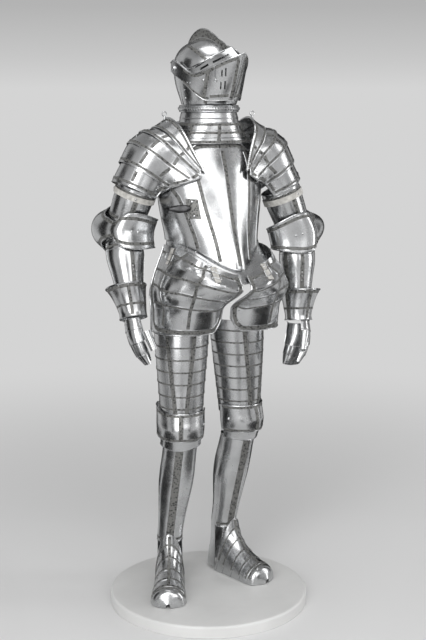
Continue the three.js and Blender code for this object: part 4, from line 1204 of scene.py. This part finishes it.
def tasset_of(sign):
    """One tasset: its own half oval over the thigh, eased near the top onto the fauld's form,
    and at its outer side onto the hip, round to the side seam."""

    def surface(u, v):
        edge = TASSET_EDGE
        angle = mix(edge["inner"], edge["outer"], u)
        around_hip = np.degrees(np.arctan2(105 + 110 * sine(angle), 180))
        around_hip = around_hip + edge["round"] * np.maximum(2 * u - 1, 0) ** 1.5
        top = breast_low(around_hip) - edge["under"]
        rounding = edge["corner"] * np.maximum((-angle - 26) / 24, 0) ** 2
        z = mix(top, edge["bottom"] + rounding, v)
        row = row_at(TASSET, z)
        wide = np.where(angle < 0, row["inner"], row["outer"])
        own = row["deep"] * np.sign(cosine(angle)) * np.abs(cosine(angle)) ** edge["square"] - edge["behind"]
        x = row["centre"] + wide * sine(angle)
        out = flare(np.minimum(breast_low(around_hip) - z, edge["deepest"]), around_hip) + edge["clear"]
        section = row_at(TORSO, z)
        share = np.minimum(x / (section["side"] + out), 1)
        body = (section["front"] + section["keel"] + out) * np.sqrt(np.maximum(1 - share**2, 0))
        follow = smooth(z, *edge["leave"])
        hip = torso(around_hip, z, flare(breast_low(around_hip) - z, around_hip) + edge["clear"])
        outer = smooth(u, 0.5, 1.0) * follow
        depth = mix(mix(own, np.maximum(own, body), follow), -hip[..., 1], outer)
        return np.stack([sign * mix(x, hip[..., 0], outer), -depth, z], -1)

    return surface


for side, sign in SIDES:
    surface = tasset_of(sign)
    inside = [sign * 105, 0, 950]
    dress_steel(
        f"tasset_plates_{side}", [wall(surface, 72, 8, inside, lames=5, step=1.2, marks=TASSET_MARKS)],
        [f"tasset_{side}"],
    )
    edge = [(0.97, 0.04), (0.97, 0.3), (0.97, 0.6), (0.97, 0.86), (0.94, 0.93), (0.9, 0.95), (0.7, 0.958),
            (0.5, 0.958), (0.3, 0.958), (0.14, 0.95), (0.07, 0.92), (0.045, 0.86), (0.035, 0.6), (0.035, 0.3),
            (0.035, 0.04)]
    downs = [
        [(0.66, 0.01), (0.7, 0.06), (0.78, 0.16), (0.81, 0.24), (0.816, 0.5), (0.816, 0.9)],
        [(0.38, 0.02), (0.43, 0.12), (0.48, 0.22), (0.502, 0.32), (0.492, 0.58), (0.485, 0.91)],
    ]
    overs = [level(mark - 0.02, 25, 0.05, 0.95) for mark in TASSET_MARKS[1:-1]]
    bands = [strip(surface, path, 10, inside, 64) for path in downs]
    bands += [strip(surface, path, 7, inside, 64) for path in overs]
    bands += [strip(surface, edge, 13, inside, 180)]
    dress_etched(f"tasset_bands_{side}", bands)
    trim = edged(surface, downs, inside, 5, 64) + edged(surface, overs, inside, 3.8, 64)
    trim += edged(surface, [edge], inside, 6.5, 180)
    border = [(1, 0.03), (1, 0.5), (1, 1), (0.5, 1), (0, 1), (0, 0.5), (0, 0.03)]
    trim += [roll(surface, border, 2.3, inside, 300, rope=0.2)]
    trim += [studs(surface, [(u, (k + 0.5) / 5) for k in range(5) for u in (0.085, 0.915)], 2.4, 1.6, inside)]
    straps = [
        strip(surface, [(u, 0.01), (u, 0.19)], 17, inside, 16, lift=3.4, thickness=2.4) for u in STRAPS_AT
    ]
    make(f"tasset_straps_{side}", straps, leather, "suit", place=in_suit)
    half, top, foot = BUCKLE["half"], BUCKLE["top"], BUCKLE["foot"]
    for u in STRAPS_AT:
        buckle = [(u - half, top), (u + half, top), (u + half, foot), (u - half, foot), (u - half, top)]
        trim += [roll(surface, buckle, 1.6, inside, 80, out=4.6)]
    trim += [studs(surface, [(u, 0.04) for u in STRAPS_AT], 4.0, 5.4, inside)]
    dress_steel(f"tasset_trim_{side}", trim)


# ---- Legs ----
# Cuisses of eight lames, poleyns with a wing at the outer side, greaves of two halves hinged down the
# outside of the shin, and sabatons of arched lames with a broad toe cap.
LEGS = {
    "right": {
        "line": [[-95, 0, 880], [-105, -20, 520], [-127, 30, 170], [-127, 30, 0]],
        "turn": -24, "shin_band": 0.5,
    },
    "left": {
        "line": [[92, 0, 880], [112, 7, 520], [94, 90, 170], [94, 90, 0]],
        "turn": 20, "shin_band": 0.43,
    },
}
THIGH = rows(["z", "side", "front", "back"], [
    [885, 90, 94, 82],
    [790, 84, 90, 79],
    [670, 74, 80, 73],
    [600, 69, 73.5, 68],
    [570, 67, 71, 66],
])
KNEE = rows(["z", "side", "front", "back"], [
    [474, 60, 61, 60],
    [498, 66, 70, 63],
    [522, 71, 80, 66],
    [548, 73, 85, 68],
    [574, 73, 81, 69],
    [600, 73, 77, 71],
])
SHIN = rows(["z", "side", "front", "back"], [
    [12, 44, 52, 64],
    [50, 42, 50, 60],
    [95, 41, 46, 50],
    [150, 41, 44, 44],
    [200, 42, 43, 45],
    [250, 45, 45, 50],
    [300, 50, 48, 60],
    [350, 55, 52, 67],
    [400, 56, 54, 68],
    [450, 54.5, 55, 62],
    [490, 55, 57, 57],
])
SABATON = rows(["s", "half", "crest", "edge", "high"], [
    [0, 48.5, 53, 2, 188],
    [0.2, 48, 65, 14, 142],
    [0.4, 49, 95, 62, 102],
    [0.6, 53, 135, 116, 75],
    [0.8, 55, 170, 160, 60],
    [0.92, 45, 192, 188, 47],
    [1, 8, 205, 205, 16],
])
FOOT_CLEAR = 2

for side, sign in SIDES:
    leg = LEGS[side]
    line = np.array(leg["line"], float)

    def leg_point(section, angle, out=0.0):
        """A section of the leg, set on the line through hip, knee and ankle and turned with the foot."""
        z = section["z"]
        cx, cy = (np.interp(z, line[::-1, 2], line[::-1, k]) for k in (0, 1))
        x, y, _ = np.moveaxis(around(section, angle, out), -1, 0)
        c, s = cosine(leg["turn"]), sine(leg["turn"])
        return np.stack(np.broadcast_arrays(cx + x * c - y * s, cy + x * s + y * c, z), -1)

    def middle(z):
        return [float(np.interp(z, line[::-1, 2], line[::-1, k])) for k in (0, 1)] + [z]

    def cuisse(u, v):
        return leg_point(row_at(THIGH, mix(885, 572, v)), mix(-125, 125, u))

    def poleyn(u, v):
        angle = mix(-100, 148, u)
        wing = np.exp(-(((angle - 108) / 34) ** 2))
        z = mix(600 + 16 * wing, 512 + 10 * wing, v)
        return leg_point(row_at(KNEE, z), sign * angle, 8 * wing)

    def knee_lame(u, v):
        angle = mix(-95, 95, u)
        return leg_point(row_at(KNEE, mix(521, 488 - 10 * cosine(angle) ** 2, v)), angle)

    def shin_front(u, v):
        return leg_point(row_at(SHIN, mix(508, 158, v)), mix(-89.7, 89.7, u))

    def shin_back(u, v):
        return leg_point(row_at(SHIN, mix(492, 12, v)), mix(90.3, 269.7, u))

    def foot(s, u):
        """The foot's arch: over it by a softened cosine, and forward by the row's crest and edge."""
        row = row_at(SABATON, s)
        over = mix(-90, 90, u)
        arch = np.maximum(cosine(over), 0) ** 0.8
        ahead = mix(row["edge"], row["crest"], arch)
        across = row["half"] * sine(over)
        c, sn = cosine(leg["turn"]), sine(leg["turn"])
        x, y = line[2][:2]
        return np.stack([
            x + across * c + ahead * sn, y + across * sn - ahead * c, mix(FOOT_CLEAR, row["high"], arch)
        ], -1)

    def sabaton(u, v):
        return foot(mix(0, 0.79, v), u)

    def toe(u, v):
        return foot(mix(0.796, 1, v), u)

    thigh_in, knee_in, shin_in = middle(700), middle(555), middle(330)
    sole = [*line[2][:2], 0]
    toe_in = [*foot(np.array(0.8), np.array(0.5))[:2], 0]
    for name, surface, inside, size, node_name in (
        ("cuisse_lames", cuisse, thigh_in, {"across": 72, "along": 5, "lames": 8, "step": 1.2}, "cuisse"),
        ("poleyn_shell", poleyn, knee_in, {"across": 96, "along": 32}, "poleyn"),
        ("knee_lame_plate", knee_lame, middle(495), {"across": 72, "along": 8, "step": 5.25}, "knee_lame"),
        ("greave_shin", shin_front, shin_in, {"across": 48, "along": 64}, "greave_front"),
        ("greave_calf", shin_back, middle(300), {"across": 48, "along": 80}, "greave_back"),
        ("sabaton_plates", sabaton, sole,
         {"across": 64, "along": 7, "lames": 5, "step": 1.2}, "sabaton_lames"),
        ("toe_plate", toe, toe_in, {"across": 64, "along": 24}, "toe_cap"),
    ):
        dress_steel(f"{name}_{side}", [wall(surface, inside=inside, **size)], [f"{node_name}_{side}"])

    downs = mirrored([[(0.62, 0.03), (0.6, 0.4), (0.575, 0.7), (0.555, 0.97)]])
    bands = [strip(cuisse, path, 13, thigh_in, 64) for path in downs]
    bands += [strip(cuisse, level(k / 8 - 0.014, 25, 0.03, 0.97), 5, thigh_in, 60) for k in range(1, 9)]
    bands += [strip(shin_front, upright(leg["shin_band"], 0.03, 0.97, 24), 25, shin_in, 90, 8)]
    bands += [strip(shin_front, level(v, 25, 0.04, 0.96), 8, shin_in, 60) for v in (0.03, 0.97)]
    bands += [strip(poleyn, upright(0.403, 0.08, 0.92), 14, knee_in, 32)]
    bands += [strip(poleyn, level(v, 25, 0.03, 0.97), 7, knee_in, 64) for v in (0.07, 0.93)]
    bands += [strip(sabaton, level(k / 5 - 0.03, 25, 0.06, 0.94), 5, sole, 60) for k in range(1, 6)]
    bands += [strip(toe, level(0.12, 25, 0.08, 0.92), 7, toe_in, 60)]
    bands += [strip(sabaton, upright(0.5, 0.03, 0.97, 24), 10, sole, 60)]
    dress_etched(f"leg_bands_{side}", bands)
    trim = edged(cuisse, [upright(u, 0.02, 0.97, 24) for u in (0.38, 0.62)], thigh_in, 4.5, 64)
    trim += edged(shin_front, [upright(0.5, 0.03, 0.97, 24)], shin_in, 12, 90)
    border = [(0, 0), (0.5, 0), (1, 0), (1, 0.5), (1, 1), (0.5, 1), (0, 1), (0, 0.5), (0, 0)]
    trim += [roll(poleyn, border, 1.8, knee_in, 240, rope=0.2)]
    trim += [roll(surface, level(v), 1.4, inside, 100)
             for surface, v, inside in ((shin_front, 0.0, middle(500)), (shin_front, 1.0, middle(160)),
                                        (shin_back, 0.0, middle(490)), (knee_lame, 1.0, middle(480)),
                                        (toe, 0.02, toe_in))]
    trim += [studs(cuisse, [(u, (k + 0.5) / 8) for k in range(8) for u in (0.05, 0.95)], 2.4, 1.5, thigh_in)]
    trim += [studs(poleyn, [(0.1, 0.5), (0.88, 0.5)], 5.0, 3.6, knee_in)]
    dress_steel(f"leg_trim_{side}", trim)


# ---- Lance rest ----
# A steel bracket bolted to the right breast, and the arm that folds up on it when it isn't wanted.
BRACKET = {"angle": (-47, -33), "z": (1214, 1272)}
ARM_AT = {"angle": -44, "z": 1246, "stand": 13, "turn": -155}


def bracket(u, v):
    return torso(mix(*BRACKET["angle"], u), mix(*BRACKET["z"], v), PLATE + 0.8)


plates = [wall(bracket, 24, 32, CHEST)]
dress_etched("lance_rest_bracket", plates, ["lance_bracket"])
trim = [studs(bracket, [(0.5, 0.14), (0.5, 0.86)], 5.5, 4.5, CHEST)]
trim += [roll(bracket, [(0, 0), (1, 0), (1, 1), (0, 1), (0, 0)], 0.9, CHEST, 120)]
dress_steel("lance_rest_bolts", trim)


def rest_arm(u, v):
    """The arm as a closed tube: length by v, and round a soft rectangle whose depth swells and tapers."""
    length = mix(-6, 88, v)
    deep = np.interp(length, [-6, 4, 16, 44, 60, 80, 88], [6, 10, 12, 12, 9.5, 5.5, 4])
    drop = np.interp(length, [-6, 40, 60, 88], [0, 0, 2, 4])
    turn = 360 * u
    c, s = cosine(turn), sine(turn)
    across = 6 * np.sign(c) * np.abs(c) ** 0.6
    tall = deep * np.sign(s) * np.abs(s) ** 0.75 + drop
    heading = [cosine(ARM_AT["turn"]), sine(ARM_AT["turn"])]
    root = torso(np.array(float(ARM_AT["angle"])), np.array(float(ARM_AT["z"])), ARM_AT["stand"])
    x = root[0] + heading[0] * length - heading[1] * across
    y = root[1] + heading[1] * length + heading[0] * across
    return np.stack([x, y, root[2] + tall], -1)


def bar(surface, across, along):
    """A solid closed tube from surface(u, v), round in u, with a flat polygon at each end."""
    u, v = np.meshgrid(np.arange(across) / across, np.linspace(0, 1, along + 1))
    points = surface(u, v).reshape(-1, 3)
    j, i = np.meshgrid(np.arange(along), np.arange(across), indexing="ij")
    a, b = j * across + i, j * across + (i + 1) % across
    quads = np.stack([a, b, b + across, a + across], -1).reshape(-1, 4)
    turned = outward(points, quads)[1]
    caps = [list(range(across)), list(range(along * across, (along + 1) * across))]
    flipped = turned[0][0] == quads[0][0]
    caps = [caps[0][::-1], caps[1]] if flipped else [caps[0], caps[1][::-1]]
    return points, turned, caps


# Blackened steel: oil-blacked in the fire, smooth and dark.
black_steel, tree, shader, place = material("oil blackened steel", 0.3, metallic=1.0)
feed(tree, shader, place, blots(25), [(0.3, "#3C3C3D"), (0.7, "#5A5A5B")])
hook = bar(rest_arm, 32, 40)
make("lance_rest_hook", [hook], black_steel, "lance_arm", ["lance_rest_arm"], place=in_suit)


# ---- Turning pins ----
# A short pin with a loose ring stands up through each shoulder to lock the pauldron.
PIN = {"x": 148, "low": 1506, "high": 1517, "tip": 1518, "radius": 3, "ring": 7, "wire": 1.6}
for side, sign in SIDES:
    points, quads, ends = closed_round([
        [0, PIN["low"]], [PIN["radius"], PIN["low"]], [PIN["radius"], PIN["high"]],
        [2, PIN["high"] + 0.8], [0, PIN["tip"]],
    ], 20)
    turn = np.linspace(0, 2 * np.pi, 40, endpoint=False)
    out = np.stack([np.cos(turn), np.zeros(40), np.sin(turn)], -1)
    ring = tube(out * PIN["ring"] + [0, 0, PIN["high"] + 5.5], out, PIN["wire"], 10, closed=True)
    at = np.array([sign * PIN["x"], 0, 0])
    dress_steel(
        f"pin_and_ring_{side}", [(points + at, quads, ends), (ring[0] + at, ring[1])],
        [f"turning_pin_{side}"],
    )


# ---- Floor and light ----
# A pale seamless floor under a pale room, with large soft boxes. Dark cards that the camera doesn't see
# give polished steel the dark edges it needs.
def flat(name, corners, finish):
    mesh = bpy.data.meshes.new(name)
    mesh.from_pydata(corners, [], [[0, 1, 2, 3]])
    mesh.materials.append(finish)
    made = bpy.data.objects.new(name, mesh)
    bpy.context.scene.collection.objects.link(made)
    return made


# The floor fades with distance from the plinth into the same even grey as the room, so no horizon shows.
floor_paint, tree, shader, place = material("pale studio floor", 0.9)
shader.inputs["Base Color"].default_value = linear("#DCDCDC")
away = node(tree, "ShaderNodeVectorMath", settings={"operation": "LENGTH"}, links={0: place}).outputs["Value"]
fade = node(tree, "ShaderNodeMapRange", settings={"interpolation_type": "SMOOTHSTEP"}, links={"Value": away},
            values={"From Min": 0.5, "From Max": 3.6})
even = node(tree, "ShaderNodeEmission", values={"Color": linear("#D4D4D4"), "Strength": 1.0})
blend = node(tree, "ShaderNodeMixShader",
             links={0: fade.outputs["Result"], 1: shader.outputs["BSDF"], 2: even.outputs["Emission"]})
tree.links.new(blend.outputs["Shader"], tree.nodes["Material Output"].inputs["Surface"])
flat("floor", [(-900, -900, 0), (900, -900, 0), (900, 900, 0), (-900, 900, 0)], floor_paint)
black_card, tree, shader, place = material("black card", 1.0)
shader.inputs["Base Color"].default_value = linear("#050505")
CARDS = (
    (150, 2.3, 3.4, 0.0, 3.6),
    (-118, 1.1, 3.4, 0.0, 3.4),
    (92, 0.45, 3.4, 0.0, 3.4),
    (-70, 0.3, 2.6, 0.0, 1.1),
    (20, 0.3, 2.4, 0.0, 0.9),
)
FLOOR_CARDS = ((156, 1.7, 0.75, 3.3), (48, 0.62, 0.6, 2.6), (-100, 0.62, 0.6, 2.6), (-24, 0.3, 1.5, 2.6))


def black_out(name, near, far, half_width, turn, low, high):
    """A black card seen only in the steel: a quad between two distances and two heights."""
    ahead = np.array([sine(turn), -cosine(turn)])
    along = np.array([cosine(turn), sine(turn)]) * half_width
    corners = [
        (*(ahead * reach + along * side), height) for reach, height, side in
        ((near, low, -1), (near, low, 1), (far, high, 1), (far, high, -1))
    ]
    card = flat(name, [tuple(float(x) for x in corner) for corner in corners], black_card)
    card.visible_camera = False
    card.visible_shadow = False
    card.visible_diffuse = False


for k, (turn, half_width, reach, low, high) in enumerate(CARDS):
    black_out(f"card_{k}", reach, reach, half_width, turn, low, high)
for k, (turn, half_width, near, far) in enumerate(FLOOR_CARDS):
    black_out(f"floor_card_{k}", near, far, half_width, turn, 0.003, 0.003)


def soft_box(name, at, size, power, aim=(0, 0, 1.0)):
    """A rectangular lamp at a place in metres, turned to face its aim."""
    lamp = bpy.data.objects.new(name, bpy.data.lights.new(name, "AREA"))
    lamp.data.shape = "RECTANGLE"
    lamp.data.size, lamp.data.size_y = size
    lamp.data.energy = power
    lamp.location = at
    away = np.array(at, float) - np.array(aim, float)
    lamp.rotation_euler = (np.arctan2(np.hypot(away[0], away[1]), away[2]), 0, np.arctan2(away[0], -away[1]))
    bpy.context.scene.collection.objects.link(lamp)


soft_box("key_box", (-3.4, -3.6, 2.2), (2.2, 3.4), 115)
soft_box("front_box", (0.6, -4.8, 2.8), (3.0, 2.6), 46)
soft_box("fill_box", (3.8, -1.6, 1.9), (0.7, 3.0), 34)
soft_box("high_box", (-1.6, -3.4, 4.6), (3.4, 2.2), 70, (0, 0, 1.2))
soft_box("top_box", (0.0, 0.0, 4.8), (2.0, 2.0), 30)

world = bpy.data.worlds.new("pale room")
bpy.context.scene.world = world
world.use_nodes = True
tree = world.node_tree
tree.nodes.clear()
direction = node(tree, "ShaderNodeTexCoord").outputs["Generated"]
height = node(tree, "ShaderNodeSeparateXYZ", links={"Vector": direction}).outputs["Z"]
SKY = [(0.0, "#D4D4D4"), (0.023, "#C7C7C7"), (0.064, "#B3B3B3"), (0.3, "#C4C4C4"), (1.0, "#7A7A7A")]
sky = node(tree, "ShaderNodeValToRGB", links={"Fac": height}, stops=SKY).outputs["Color"]
glow = node(tree, "ShaderNodeBackground", links={"Color": sky}, values={"Strength": 1.0})
node(tree, "ShaderNodeOutputWorld", links={"Surface": glow.outputs["Background"]})
bpy.context.scene.view_settings.view_transform = "Standard"
